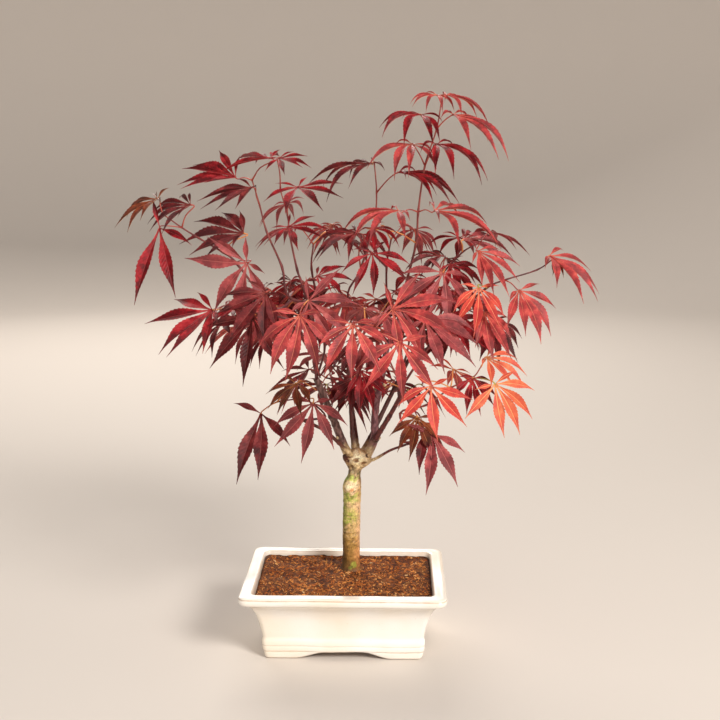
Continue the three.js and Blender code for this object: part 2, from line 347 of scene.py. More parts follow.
# Inside of the pot from the rim down, measured the same way.
POT_INSIDE = (
    (4.6, 69.8, 0.0), (8.0, 69.85, 0.0), (10.8, 69.9, 0.05), (12.0, 69.5, 0.3), (12.7, 68.6, 0.35),
    (13.2, 66.5, 0.15), (13.5, 62.0, 0.4), (15.0, 58.0, 0.4), (19.0, 53.0, 0.4), (23.0, 46.0, 0.4),
    (27.0, 34.0, 0.4), (29.0, 16.0, 0.4), (30.0, 14.0, 0.4),
)
RIM_CORNER = 9.0
FOOT_LINE = 8.0  # height of the line above the feet; the arches stay under it
FLOOR_TOP = 14.0
UNDERSIDE = 8.0
FOOT_WIDTH = 9.0
LONG_ARCH_HALF = 48.0
SHORT_ARCH_HALF = 27.0
ARCH_RISE = 7.7
ARCH_FLAT = 0.32
DRAIN_RADIUS = 7.0
DRAIN_SPACING = 76.0
DRAIN_POINTS = 24
FOOT_BEVEL = 1.5
RIM_TOP = 70.0
HAND_UNEVENNESS = 0.45
CLAY_AND_SHADE_BROWN = "b98a55"
LONG_SIDE_POINTS = 44
SHORT_SIDE_POINTS = 30
CORNER_POINTS = 8


def pot_ring(inset, height):
    """Rounded rectangle of the pot's plan, drawn in from the rim by an inset."""
    half_x = POT_SIZE.x / 2 - inset
    half_y = POT_SIZE.y / 2 - inset
    radius = max(RIM_CORNER - 0.2 * inset, 3.0)
    core_x = half_x - radius
    core_y = half_y - radius
    ring = []
    sides = (
        (Vector((half_x, -core_y)), Vector((half_x, core_y)), SHORT_SIDE_POINTS),
        (Vector((core_x, half_y)), Vector((-core_x, half_y)), LONG_SIDE_POINTS),
        (Vector((-half_x, core_y)), Vector((-half_x, -core_y)), SHORT_SIDE_POINTS),
        (Vector((-core_x, -half_y)), Vector((core_x, -half_y)), LONG_SIDE_POINTS),
    )
    corners = ((core_x, core_y), (-core_x, core_y), (-core_x, -core_y), (core_x, -core_y))
    for side, ((start, end, count), (corner_x, corner_y)) in enumerate(zip(sides, corners)):
        for i in range(count):
            flat = start.lerp(end, i / count)
            ring.append(Vector((flat.x, flat.y, height)))
        for i in range(CORNER_POINTS):
            angle = (side + i / CORNER_POINTS) * math.pi / 2
            x = corner_x + radius * math.cos(angle)
            y = corner_y + radius * math.sin(angle)
            ring.append(Vector((x, y, height)))
    return ring


def arch_height(point):
    """How far the pot's bottom edge is lifted over the table by the arch in that side."""
    on_long_side = abs(point.y) / POT_SIZE.y > abs(point.x) / POT_SIZE.x
    half = LONG_ARCH_HALF if on_long_side else SHORT_ARCH_HALF
    along = abs(point.x if on_long_side else point.y)
    return ARCH_RISE * ease(0, 1, (half - along) / (half * (1 - ARCH_FLAT)))


def shaped_by_hand(point):
    """The small unevenness of a pressed and glazed pot."""
    push = Vector((wobble(point, 34, 1.0), wobble(point, 34, 2.0), 1.6 * wobble(point, 38, 3.0)))
    return point + push * HAND_UNEVENNESS


def refine_profile(profile, steps):
    """A profile smoothed with more stops, keeping insets and the clay and shadow values from going
    below zero.
    """
    route = smooth_route([Vector(stop) for stop in profile], steps)
    return [(max(stop.x, 0.0), stop.y, max(stop.z, 0.0)) for stop in route]


def flat_cap(heap, outline_start, outline, holes, facing_up):
    """Level face between an outline already in the heap and round holes, whose edges are added."""
    loops = [outline, *holes]
    hole_starts = [heap.add(hole, [], clay_shows=0.6) for hole in holes]
    numbers = [outline_start + i for i in range(len(outline))]
    for start, hole in zip(hole_starts, holes):
        numbers.extend(start + i for i in range(len(hole)))
    for triangle in tessellate_polygon(loops):
        a, b, c = (numbers[i] for i in triangle)
        p, q, r = (Vector(heap.points[i]) for i in (a, b, c))
        points_up = (q - p).cross(r - p).z > 0
        heap.faces.append((a, b, c) if points_up == facing_up else (a, c, b))
    return hole_starts


def drain_ring(side, height):
    centre_x = side * DRAIN_SPACING / 2
    angles = [i / DRAIN_POINTS * math.tau for i in range(DRAIN_POINTS)]
    return [
        Vector((centre_x + DRAIN_RADIUS * math.cos(a), DRAIN_RADIUS * math.sin(a), height))
        for a in angles
    ]


def make_pot(material):
    """The pot as one closed skin: underside, outside, rim, inside and the walls of its drains."""
    heap = Heap("clay_shows")
    outside = refine_profile(POT_OUTSIDE, 2)
    inside = refine_profile(POT_INSIDE, 2)
    foot_inner = outside[0][0] + FOOT_WIDTH
    under = [(foot_inner, UNDERSIDE, 0.8), (foot_inner - FOOT_BEVEL, 0.0, 0.9)]
    rings = []
    for number, (inset, height, shows) in enumerate([*under, *outside, *inside]):
        ring = pot_ring(inset, height)
        if height < FOOT_LINE:
            for point in ring:
                lift = arch_height(point)
                point.z = lift + point.z * (FOOT_LINE - lift) / FOOT_LINE
        if number and height:
            ring = [shaped_by_hand(p) if 1 < p.z < RIM_TOP else p for p in ring]
        rings.append((ring, shows))
    count = len(rings[0][0])
    points = [p for ring, _ in rings for p in ring]
    shows = [value for ring, value in rings for _ in ring]
    faces = ring_faces(len(rings), count, closed_ends=False)
    heap.add(points, faces, clay_shows=shows)
    lower = [drain_ring(side, UNDERSIDE) for side in (-1, 1)]
    upper = [drain_ring(side, FLOOR_TOP) for side in (-1, 1)]
    lower_starts = flat_cap(heap, 0, rings[0][0], lower, facing_up=False)
    last = (len(rings) - 1) * count
    upper_starts = flat_cap(heap, last, rings[-1][0], upper, facing_up=True)
    for low, high in zip(lower_starts, upper_starts):
        for i in range(DRAIN_POINTS):
            following = (i + 1) % DRAIN_POINTS
            heap.faces.append((low + i, high + i, high + following, low + following))
    return heap.piece("pot_glazed", material)


def glaze_material():
    finish = Finish("cream_glaze")
    cream = finish.ramp(finish.noise(14, 2.5), (0.35, "f5ead8"), (0.62, "fbf7f0"))
    specks = finish.noise(900, 1.0)
    speckled = finish.ramp(specks, (0.0, "d8b98c"), (0.24, "d8b98c"), (0.3, "ffffff"))
    body = finish.mix(0.25, cream, speckled, "MULTIPLY")
    # The clay's brown is mixed in patchily: bare clay at the foot, drains and glaze lines, and
    # painted shadow under the rim.
    clay_and_shade_share = finish.math("MULTIPLY", finish.value("clay_shows"), finish.noise(90))
    finish.dress({
        "Base Color": finish.mix(finish.math("MULTIPLY", clay_and_shade_share, 1.5), body, linear(CLAY_AND_SHADE_BROWN)),
        "Roughness": 0.24, "Coat Weight": 0.35, "Coat Roughness": 0.12})
    finish.bump(finish.noise(60, 2.0), 0.12, 0.6)
    return finish.material


# ---------------------------------------------------------------- bark bedding

SOIL_EDGE = 62.8  # height along the front wall
SOIL_BACK = 65.4  # height along the back wall
SOIL_CROWN = 66.0
SOIL_MOUND = 42.0  # how far the mound round the trunk reaches
SOIL_MOUND_STRETCH = 1.25  # how much further it reaches to the sides
SOIL_INSET = 13.9  # from the rim's outer face to the soil's edge, just inside the pot's wall
SOIL_RINGS = 46
# Outline of the bedding's sides and underside inside the pot: inset and height.
SOIL_UNDERSIDE = ((SOIL_INSET + 6, 53.5), (SOIL_INSET + 14, 36.0), (30.4, 14.6))
TRUNK_FOOT = Vector((5, 22, 66))
# Dips in the bedding: across, deep, radius, depth.
SOIL_HOLLOWS = (
    (-22, 14, 9, 2.6), (-38, 40, 11, 2.2), (-64, 44, 9, 2.4), (-58, 6, 8, 1.6), (-30, -26, 7, 1.4),
    (34, 48, 10, 1.8), (62, -18, 8, 1.2), (-10, 52, 8, 1.8),
)
# The right end of the bedding is darker and mossy: metres to the right, then how ragged.
MOSSY_START = 0.085
MOSSY_END = 0.115
MOSSY_RAGGED = 0.05
MOSS_SHADE = "8c8064"
# Shapes of a chip before it is scaled: length, width, thickness.
CHIP_SHAPES = (
    (1.0, 0.7, 0.34), (1.2, 0.42, 0.4), (1.0, 0.6, 0.5), (1.6, 0.34, 0.26), (2.2, 0.22, 0.18),
    (2.8, 0.14, 0.12),
)
STRAIGHT_CHIPS = 3  # the first few shapes are straight, the longer ones bowed
CHIP_BOW = (0.15, 0.4)
CHIP_SIDES = 5
CHIP_INSET = 15.5
CHIP_SHAPE_SEED = 31
CHIP_TURN_SEED = 3
CHIP_SIZE_SEED = 5
CHIP_TONE_SEED = 9
# The two lots of chips: chips to the square metre, smallest, largest, tilt in radians, seed.
CHIP_LOTS = {
    "bark_chips_coarse": (46000, 2.2, 4.4, 0.6, 12),
    "bark_chips_fine": (95000, 1.2, 2.3, 0.9, 45),
}


def soil_height(x, y):
    """Height of the bedding's top, mounded up to the trunk and falling a little to the walls."""
    from_trunk = math.hypot((x - TRUNK_FOOT.x) / SOIL_MOUND_STRETCH, y - TRUNK_FOOT.y)
    mound = math.exp(-(from_trunk / SOIL_MOUND) ** 2)
    edge = blend(SOIL_EDGE, SOIL_BACK, ease(-40, 60, y))
    height = blend(edge, SOIL_CROWN, mound)
    away = ease(12, 26, from_trunk)
    height += away * (1.3 * wobble((x, y, 0), 15, 4.0) + 1.0 * wobble((x, y, 0), 5, 5.0))
    for across, deep, radius, depth in SOIL_HOLLOWS:
        height -= depth * math.exp(-((x - across) ** 2 + (y - deep) ** 2) / radius ** 2)
    return height


def make_soil_top(inset):
    """The bedding's uneven top as rings of one outline drawn towards the middle."""
    outline = pot_ring(inset, 0)
    points = []
    for level in range(SOIL_RINGS):
        share = 1 - level / SOIL_RINGS
        for p in outline:
            x, y = p.x * share, p.y * share
            points.append(Vector((x, y, soil_height(x, y))))
    points.append(Vector((0, 0, soil_height(0, 0))))
    count = len(outline)
    faces = ring_faces(SOIL_RINGS, count, closed_ends=False)
    last = (SOIL_RINGS - 1) * count
    faces += [(last + i, last + (i + 1) % count, len(points) - 1) for i in range(count)]
    heap = Heap()
    heap.add(points, faces)
    return heap


def make_soil(material):
    heap = make_soil_top(SOIL_INSET)
    above = 0
    for depth_inset, height in SOIL_UNDERSIDE:
        ring = pot_ring(depth_inset, height)
        count = len(ring)
        start = heap.add(ring, [])
        for i in range(count):
            following = (i + 1) % count
            heap.faces.append((above + following, above + i, start + i, start + following))
        above = start
    heap.faces.append(tuple(reversed(range(start, start + count))))
    return heap.piece("soil_bed", material)


def make_chip_shape(index, dice):
    """A splinter of bark: an uneven five-sided sliver, longer than wide."""
    length, width, thickness = CHIP_SHAPES[index]
    bow = 0.0 if index < STRAIGHT_CHIPS else dice.uniform(*CHIP_BOW)
    points = []
    for t, fill in ((-0.5, 0.55), (0.05, 1.0), (0.5, 0.5)):
        for side in range(CHIP_SIDES):
            angle = side / CHIP_SIDES * math.tau + dice.uniform(-0.3, 0.3)
            points.append(Vector((
                length * (t + dice.uniform(-0.08, 0.08)),
                0.5 * width * fill * math.cos(angle) + bow * (1 - 4 * t * t) * 0.4,
                0.5 * thickness * fill * math.sin(angle),
            )) * MM)
    mesh = bpy.data.meshes.new(f"chip_shape_{index}")
    mesh.from_pydata(points, [], ring_faces(3, CHIP_SIDES))
    return bpy.data.objects.new(mesh.name, mesh)


def chip_tree(material):
    """Scatters randomly turned chips over a surface and gives each one its own tone."""
    tree = bpy.data.node_groups.new("scattered_bark_chips", "GeometryNodeTree")
    for name, kind in (
            ("Surface", "Geometry"), ("Chip Shapes", "Collection"), ("Tilt", "Float"),
            ("Chips per Square Metre", "Float"), ("Smallest", "Float"), ("Largest", "Float"),
            ("Seed", "Int")):
        tree.interface.new_socket(name, in_out="INPUT", socket_type="NodeSocket" + kind)
    tree.interface.new_socket("Chips", in_out="OUTPUT", socket_type="NodeSocketGeometry")
    given = add_node(tree, "NodeGroupInput", {}).outputs
    scatter = add_node(tree, "GeometryNodeDistributePointsOnFaces", {
        "Mesh": given["Surface"], "Density": given["Chips per Square Metre"],
        "Seed": given["Seed"]})
    shapes = add_node(tree, "GeometryNodeCollectionInfo", {
        "Collection": given["Chip Shapes"], "Separate Children": True, "Reset Children": True})
    tilt = given["Tilt"]
    tilt_back = add_node(tree, "ShaderNodeMath", {0: tilt, 1: -1.0}, operation="MULTIPLY")
    lowest_turn = add_node(tree, "ShaderNodeCombineXYZ", {
        axis: tilt_back.outputs["Value"] for axis in "XY"})
    highest_turn = add_node(tree, "ShaderNodeCombineXYZ", {"X": tilt, "Y": tilt, "Z": math.tau})
    turn = add_node(tree, "FunctionNodeRandomValue", {
        0: lowest_turn.outputs["Vector"], 1: highest_turn.outputs["Vector"],
        "Seed": CHIP_TURN_SEED}, data_type="FLOAT_VECTOR")
    size = add_node(tree, "FunctionNodeRandomValue", {
        2: given["Smallest"], 3: given["Largest"], "Seed": CHIP_SIZE_SEED}, data_type="FLOAT")
    chip_tone = add_node(
        tree, "FunctionNodeRandomValue", {"Seed": CHIP_TONE_SEED}, data_type="FLOAT")
    laid = add_node(tree, "GeometryNodeInstanceOnPoints", {
        "Points": scatter.outputs["Points"], "Instance": shapes.outputs["Instances"],
        "Pick Instance": True, "Rotation": turn.outputs[0], "Scale": size.outputs[1]})
    toned = add_node(tree, "GeometryNodeStoreNamedAttribute", {
        "Geometry": laid.outputs["Instances"], "Name": "tone", "Value": chip_tone.outputs[1]},
        data_type="FLOAT", domain="INSTANCE")
    plain = add_node(
        tree, "GeometryNodeRealizeInstances", {"Geometry": toned.outputs["Geometry"]})
    coloured = add_node(tree, "GeometryNodeSetMaterial", {
        "Geometry": plain.outputs["Geometry"], "Material": material})
    add_node(tree, "NodeGroupOutput", {"Chips": coloured.outputs["Geometry"]})
    return tree


def scatter_chips(name, tree, shapes, surface):
    """Runs the chip tree over a surface and keeps the result as a plain mesh inside the pot."""
    modifier = surface.modifiers.new(name, "NODES")
    modifier.node_group = tree
    settings = ("Chips per Square Metre", "Smallest", "Largest", "Tilt", "Seed")
    given = {"Chip Shapes": shapes, **dict(zip(settings, CHIP_LOTS[name]))}
    for item in tree.interface.items_tree:
        if item.item_type == "SOCKET" and item.name in given:
            modifier[item.identifier] = given[item.name]
    bpy.context.view_layer.update()
    depsgraph = bpy.context.evaluated_depsgraph_get()
    mesh = bpy.data.meshes.new_from_object(surface.evaluated_get(depsgraph))
    surface.modifiers.remove(modifier)
    mesh.name = name
    limit_x = (POT_SIZE.x / 2 - SOIL_INSET) * MM
    limit_y = (POT_SIZE.y / 2 - SOIL_INSET) * MM
    for vertex in mesh.vertices:
        vertex.co.x = POT_MIDDLE.x + min(max(vertex.co.x - POT_MIDDLE.x, -limit_x), limit_x)
        vertex.co.y = POT_MIDDLE.y + min(max(vertex.co.y - POT_MIDDLE.y, -limit_y), limit_y)
    mesh.update()
    return add_object(name, mesh)


def make_chips(material):
    dice = random.Random(CHIP_SHAPE_SEED)
    shapes = bpy.data.collections.new("chip_shapes")
    for index in range(len(CHIP_SHAPES)):
        shapes.objects.link(make_chip_shape(index, dice))
    tree = chip_tree(material)
    surface = make_soil_top(CHIP_INSET).piece("chip_surface", material)
    lots = [scatter_chips(name, tree, shapes, surface) for name in CHIP_LOTS]
    for used in [surface, *shapes.objects]:
        bpy.data.objects.remove(used)
    bpy.data.collections.remove(shapes)
    return lots


CHIP_BROWNS = (
    (0.0, "7c4220"), (0.18, "a65e2e"), (0.45, "cc7a3c"), (0.72, "de944c"), (0.93, "e8aa64"),
    (0.985, "f4d8a8"),
)
BED_BROWNS = ((0.3, "3c2010"), (0.5, "6c3e20"), (0.7, "985c30"))


def soil_material(name, by_chip):
    """Damp brown bark, each chip in its own tone, darker and mossy at the right end."""
    finish = Finish(name)
    if by_chip:
        grain = finish.noise(420)
        mixed = finish.math("ADD", finish.value("tone"), finish.math("MULTIPLY", grain, 0.25))
        brown = finish.ramp(finish.math("MULTIPLY", mixed, 0.86), *CHIP_BROWNS)
    else:
        grain = finish.noise(260)
        brown = finish.ramp(grain, *BED_BROWNS)
    damp = finish.noise(34, 1.5)
    shade = finish.ramp(damp, (0.36, "ccb6a4"), (0.6, "ffffff"))
    patchy = finish.mix(1.0, brown, shade, "MULTIPLY")
    split = finish.add("ShaderNodeSeparateXYZ", {"Vector": finish.place})
    wavy = finish.math("MULTIPLY", damp, MOSSY_RAGGED)
    mossy = finish.add("ShaderNodeMapRange", {
        "Value": finish.math("ADD", split.outputs["X"], wavy),
        "From Min": MOSSY_START, "From Max": MOSSY_END})
    dark_moss = finish.mix(1.0, patchy, linear(MOSS_SHADE), "MULTIPLY")
    finish.dress({
        "Base Color": finish.mix(mossy.outputs["Result"], patchy, dark_moss),
        "Roughness": 0.88, "Specular IOR Level": 0.25})
    finish.bump(grain, 0.5, 0.5)
    return finish.material


# ---------------------------------------------------------------- trunk

# Height over the bedding, how far the middle leans right, half width and half depth.
TRUNK_STATIONS = (
    (-3, 0, 12.2, 11.8), (0, 0, 11.4, 11), (2.5, 0, 9.9, 9.7), (8, 0.1, 8.9, 8.8),
    (20, 0.3, 8.6, 8.6), (45, 0.6, 8.8, 8.7), (70, 1, 8.9, 8.8), (84, 1.6, 8.7, 8.6),
    (93, 2.4, 8, 8.1), (99, 3.4, 6.6, 7.2), (105, 4.4, 6.2, 6.9), (110, 5.6, 8.4, 7.7),
    (115, 6.3, 10.6, 9), (121, 6.4, 10.6, 8.8), (125, 6.2, 7.6, 6.6), (127, 6.2, 3.2, 3),
)
TRUNK_ROUTE = np.array(smooth_route([Vector(stop) for stop in TRUNK_STATIONS], 8))
TRUNK_AROUND = 96
TRUNK_STEP = 0.75
TRUNK_RADIUS = 9.0
# Swollen rings in the bark: height, strength, which way round they are strongest.
BARK_RINGS = (
    (14, 0.25, 300), (27, 0.25, 250), (41, 0.45, 250), (50, 0.3, 320), (59, 0.45, 290),
    (65, 0.25, 200), (72, 0.5, 260), (79, 0.3, 300), (86, 0.3, 20), (103, 0.35, 270),
)
# Lumps and scars: height, degrees round from the right, size, how far they stand out.
BARK_LUMPS = (
    (88, 252, 6.5, 1.7), (83, 240, 5, 0.8), (93, 248, 4.5, 1.5), (97, 250, 3.0, 0.9),
    (112, 192, 5.5, 1.6), (119, 186, 5.5, 3.4), (122, 212, 4, 1.8), (113, 268, 4.5, 1.5),
    (118, 248, 3.5, 2.0), (120, 292, 4.5, 1.5), (112, 340, 5, 3.2), (118, 350, 6, 3.4),
    (117, 318, 3.5, 1.7), (113, 70, 6, 1.2), (119, 120, 5, 1.6), (117, 266, 2.6, -1.8),
    (114, 306, 2.4, -1.7), (110, 240, 2.2, -1.2), (121, 232, 2.2, -1.4), (87, 275, 2.0, -0.7),
    (6, 285, 3.4, 0.6), (33, 210, 4, 0.5), (22, 330, 3.5, -0.5), (53, 250, 3, -0.4),
    (67, 275, 2.4, -0.5), (101, 300, 2.4, 0.6),
)
BARK_RING_WIDTH = 1.1
FURROWS_FADE = (14, 44)  # heights over which the furrows of the old bark at the foot run out
SHOULDER_TURN = 196
SHOULDER_STAND = 1.7
# Bark colours up the trunk: height, on the left, in front, on the right. Besides the bark's own
# colours, such as the green on the left and the pale knuckle, the left column is darkened with
# painted shade and, on the lower two thirds, the right column is lightened with painted light.
BARK_BANDS_WITH_SIDE_SHADING = (
    (-3, "4a3018", "6e4a26", "7a4a26"), (8, "644a22", "8c6832", "ac7440"),
    (18, "6e5026", "a0763a", "cc925a"), (30, "785c2a", "b48c48", "dca870"),
    (40, "86703a", "cca868", "e4b482"), (48, "8a843e", "d2b276", "eabc8e"),
    (56, "98a04c", "bab45e", "e4b88e"), (62, "86923e", "c4b66c", "e2b68a"),
    (70, "909442", "dabc8a", "e8be92"), (76, "a8ae52", "b8bc66", "d2b078"),
    (80, "a4ac50", "aebc58", "c4a668"), (83, "9eac58", "ecca9a", "c09a62"),
    (88, "bca668", "fae2ba", "b8905a"), (93, "b4b062", "f8dcb2", "a88054"),
    (96, "9cb454", "ccd07c", "8e6c46"), (100, "7c7a4c", "a09a5c", "765c3e"),
    (105, "6a5844", "9a8464", "7c6248"), (110, "b49464", "f2daa8", "c8a478"),
    (117, "b07c56", "fae8c2", "ecd0a4"), (123, "bc9868", "fae8c2", "e0c294"),
    (127, "8a6848", "ccac84", "a48058"),
)
# Spots of another colour: height, degrees round from the right, radius, colour.
BARK_SPOTS = (
    (7, 290, 3.4, "98963c"), (4, 268, 2.0, "7d8034"), (54, 236, 4.5, "a8b050"),
    (60, 262, 2.4, "b4b858"), (77, 262, 3.6, "b4bc58"), (117, 214, 3.4, "5a2c20"),
    (120, 205, 2.4, "4a2820"),
    (117, 266, 2.4, "7a5230"), (114, 306, 2.2, "7e5834"), (110, 240, 2.0, "80603a"),
    (121, 232, 2.0, "6a4428"), (101, 285, 2.0, "b8a684"), (104, 250, 1.8, "c2b08c"),
    (98, 252, 2.6, "bcc866"), (89, 250, 3.2, "f8e0b8"), (86, 268, 1.8, "d89c6c"),
)
PALE_BARK = "ddb98c"
LENTICEL = "5a4424"  # the small dark pores of the bark
LENTICEL_SIZE = 2.2


def around(angle, degrees):
    """How far round from a marked direction an angle is, in radians, the short way."""
    return abs((angle - math.radians(degrees) + math.pi) % math.tau - math.pi)


def near_mark(height, angle, mark_height, degrees, size):
    """1 in the middle of a mark on the trunk, falling to 0 outside its size."""
    across = TRUNK_RADIUS * around(angle, degrees)
    return math.exp(-(across ** 2 + (height - mark_height) ** 2) / size ** 2)


def bark_relief(height, angle):
    """How far the bark stands out from the plain trunk, in millimetres."""
    outward = Vector((math.cos(angle), math.sin(angle), 0)) * TRUNK_RADIUS
    place = outward + UP * height
    relief = 0.4 * wobble(place, 13, 1.0) + 0.22 * wobble(place, 4, 2.0)
    furrows = Vector((outward.x, outward.y, height * 0.22))
    relief += 0.35 * wobble(furrows, 2.2, 3.0) * (1 - ease(*FURROWS_FADE, height))
    rough = ease(98, 102, height) * (1 - ease(122, 126, height))  # the knuckle's rough bark
    relief += 0.45 * rough * wobble(place, 2.6, 4.0)
    for ring_height, strength, turn in BARK_RINGS:
        level = height - ring_height - 1.3 * wobble(outward, 8, ring_height)
        facing = 0.65 + 0.35 * math.cos(angle - math.radians(turn))
        relief += strength * facing * math.exp(-(level / BARK_RING_WIDTH) ** 2)
    for mark_height, degrees, size, rise in BARK_LUMPS:
        relief += rise * near_mark(height, angle, mark_height, degrees, size)
    shoulder = max(0.0, math.cos(angle - math.radians(SHOULDER_TURN)))
    relief += SHOULDER_STAND * shoulder * ease(78, 90, height) * (1 - ease(88, 100, height))
    return relief


def bark_colour(height, angle):
    """Bark colour by height and side, with painted shade on the left and painted light low on the
    right, with mottling and spots.
    """
    outward = Vector((math.cos(angle), math.sin(angle), 0)) * TRUNK_RADIUS
    place = outward + UP * height
    level = height + 3.0 * wobble(outward, 7, 6.0) + 5.0 * wobble(place, 4, 7.0)
    upper = next((i for i, band in enumerate(BARK_BANDS_WITH_SIDE_SHADING) if band[0] > level), len(BARK_BANDS_WITH_SIDE_SHADING) - 1)
    upper = max(upper, 1)
    low_band, high_band = BARK_BANDS_WITH_SIDE_SHADING[upper - 1], BARK_BANDS_WITH_SIDE_SHADING[upper]
    share = ease(low_band[0], high_band[0], level)
    left, front, right = (
        rgb(below).lerp(rgb(above), share) for below, above in zip(low_band[1:], high_band[1:])
    )
    # Painted shade on the left side and painted light low on the right come in here.
    turn = math.cos(angle) + 0.35 * wobble(place, 6, 8.0)
    side = left if turn < 0 else right
    colour = front.lerp(side, ease(0.25, 0.95, abs(turn)))
    if math.sin(angle) > 0.3:
        colour = colour.lerp(left.lerp(right, 0.5), 0.6)
    for spot_height, degrees, radius, code in BARK_SPOTS:
        near = near_mark(height, angle + 0.12 * wobble(place, 2, 9.0), spot_height, degrees, radius)
        colour = colour.lerp(rgb(code), ease(0.25, 0.6, near))
    pale = ease(0.12, 0.42, wobble((place.x, place.y, place.z * 1.8), 3.2, 14.0))
    colour = colour.lerp(rgb(PALE_BARK), 0.55 * pale * ease(20, 40, height))
    specks = wobble((place.x * 0.7, place.y * 0.7, place.z * 1.5), LENTICEL_SIZE, 15.0)
    colour = colour.lerp(rgb(LENTICEL), 0.7 * ease(0.34, 0.5, specks))
    mottle = 1.04 + 0.45 * wobble(place, 3.4, 10.0) + 0.42 * wobble(place, 1.3, 11.0)
    return Vector([min(max(c * mottle, 0.0), 1.0) for c in colour])


def make_trunk(material):
    heap = Heap("bark")
    low, high = TRUNK_STATIONS[0][0], TRUNK_STATIONS[-1][0]
    levels = int((high - low) / TRUNK_STEP) + 1
    points = []
    colours = []
    for level in range(levels):
        height = blend(low, high, level / (levels - 1))
        lean, half_width, half_depth = (
            float(np.interp(height, TRUNK_ROUTE[:, 0], TRUNK_ROUTE[:, column]))
            for column in (1, 2, 3)
        )
        fading = 1 - ease(124, 127, height)
        for i in range(TRUNK_AROUND):
            angle = i / TRUNK_AROUND * math.tau
            stand = bark_relief(height, angle) * fading
            points.append(TRUNK_FOOT + Vector((
                lean + (half_width + stand) * math.cos(angle),
                (half_depth + stand) * math.sin(angle),
                height,
            )))
            colours.append(bark_colour(height, angle))
    heap.add(points, ring_faces(levels, TRUNK_AROUND), bark=colours)
    return heap.piece("trunk_with_knuckle", material)


def bark_material(name, roughness, fine_bump):
    finish = Finish(name)
    grain = finish.noise(900, 3.0, 0.6, finish.stretched((1.0, 1.0, 0.35)))
    shade = finish.ramp(grain, (0.28, "bcb0a4"), (0.5, "fbf8f4"), (0.72, "ffffff"))
    finish.dress({
        "Base Color": finish.mix(0.9, finish.value("bark", "Color"), shade, "MULTIPLY"),
        "Roughness": roughness, "Specular IOR Level": 0.35})
    finish.bump(grain, fine_bump, 0.5)
    return finish.material


# ---------------------------------------------------------------- boughs

# Main boughs: the route, thickness at foot and end, dark and light bark colours.
BOUGHS = {
    "bough_left": (
        ((8, 22, 180), (0, 21, 192), (-7, 19, 210), (-14, 14, 230), (-28, 2, 268)),
        10.0, 6.2, "4e3430", "94706a"),
    "bough_right": (
        ((15, 22, 180), (24, 23, 191), (29, 25, 204), (29, 30, 224), (33, 34, 250), (42, 36, 300)),
        9.6, 5.5, "5c3238", "a87478"),
    "bough_front_right": (
        ((30, 17, 205), (38, 10, 219), (47, 0, 237), (58, -16, 262)),
        5.5, 4.0, "4a1e22", "86443e"),
    "bough_middle": (
        ((9, 26, 188), (6, 34, 206), (4, 50, 232), (0, 72, 272)), 5.0, 3.6, "45231f", "74423a"),
    "bough_back_right": (
        ((17, 29, 187), (28, 46, 206), (44, 68, 236), (64, 94, 272)), 5.5, 3.8, "45231f", "74423a"),
    "bough_back_low": (
        ((12, 29, 186), (10, 48, 196), (6, 74, 214), (2, 92, 232)), 4.5, 3.4, "45231f", "74423a"),
    "bough_low_right": (
        ((18, 17, 180), (30, 12, 185), (46, 5, 196), (68, -2, 206)), 3.2, 2.2, "52201f", "96504a"),
    "bough_low_left": (
        ((6, 14, 188), (-6, 6, 202), (-20, -6, 218), (-40, -14, 230)), 4.0, 3.0, "4d2420", "7a443a"),
}
BOUGH_SEED = 5
BOUGH_STEPS = 14
# How much knots and the collar at the foot swell, and their lengths as shares of the bough's.
KNOT_SWELL = 0.14
KNOT_LENGTH = 0.018
COLLAR_SWELL = 0.3
COLLAR_LENGTH = 0.14
KNUCKLE_TOP = 191.0
BOUGH_SIDES = 16
OLD_BARK = ("c0a070", "f0dcb2")
OLD_BARK_REACH = 20.0  # how far the trunk's pale bark runs out along a bough
CUT_WOOD = ("c9a878", "efdcb8")
SNAG_BARK = ("4a3028", "86645a")
SNAG_SIDES = 14
# Radius along a snag, from its foot to its cut end, as shares of its length and radius.
SNAG_PROFILE = ((0, 1.1), (0.3, 1.0), (0.6, 0.96), (0.85, 1.02), (0.97, 0.9), (1.0, 0.55))
# Short cut-back snags: where they stand, which way they point, length, radius.
SNAGS = (
    ((29, 22, 201), (0.55, -0.35, 0.75), 7, 3.3),
    ((35, 33, 254), (0.8, -0.4, 0.5), 6, 1.7),
    ((30, 30, 252), (-0.75, -0.35, 0.6), 5, 1.5),
    ((-5, 17, 204), (-0.85, -0.45, 0.35), 5, 1.8),
    ((-15, 12, 233), (0.7, -0.5, 0.5), 5, 1.6),
    ((5, 16, 190), (-0.4, -0.7, 0.6), 4, 2.0),
    ((22, 15, 187), (0.5, -0.7, 0.4), 4, 1.9),
)


def young_bark_colour(point, dark, light, seed):
    """Smooth bark streaked along the limb between a dark and a light colour."""
    streaks = wobble((point.x * 2.2, point.y * 2.2, point.z * 0.3), 3.0, seed)
    return rgb(dark).lerp(rgb(light), ease(-0.35, 0.6, streaks))


def young_bark_bump(centre, outward):
    place = centre + outward * 3
    streaks = Vector((place.x, place.y, place.z * 0.3))
    return 0.22 * wobble(place, 7, 12.0) + 0.12 * wobble(streaks, 1.6, 13.0)


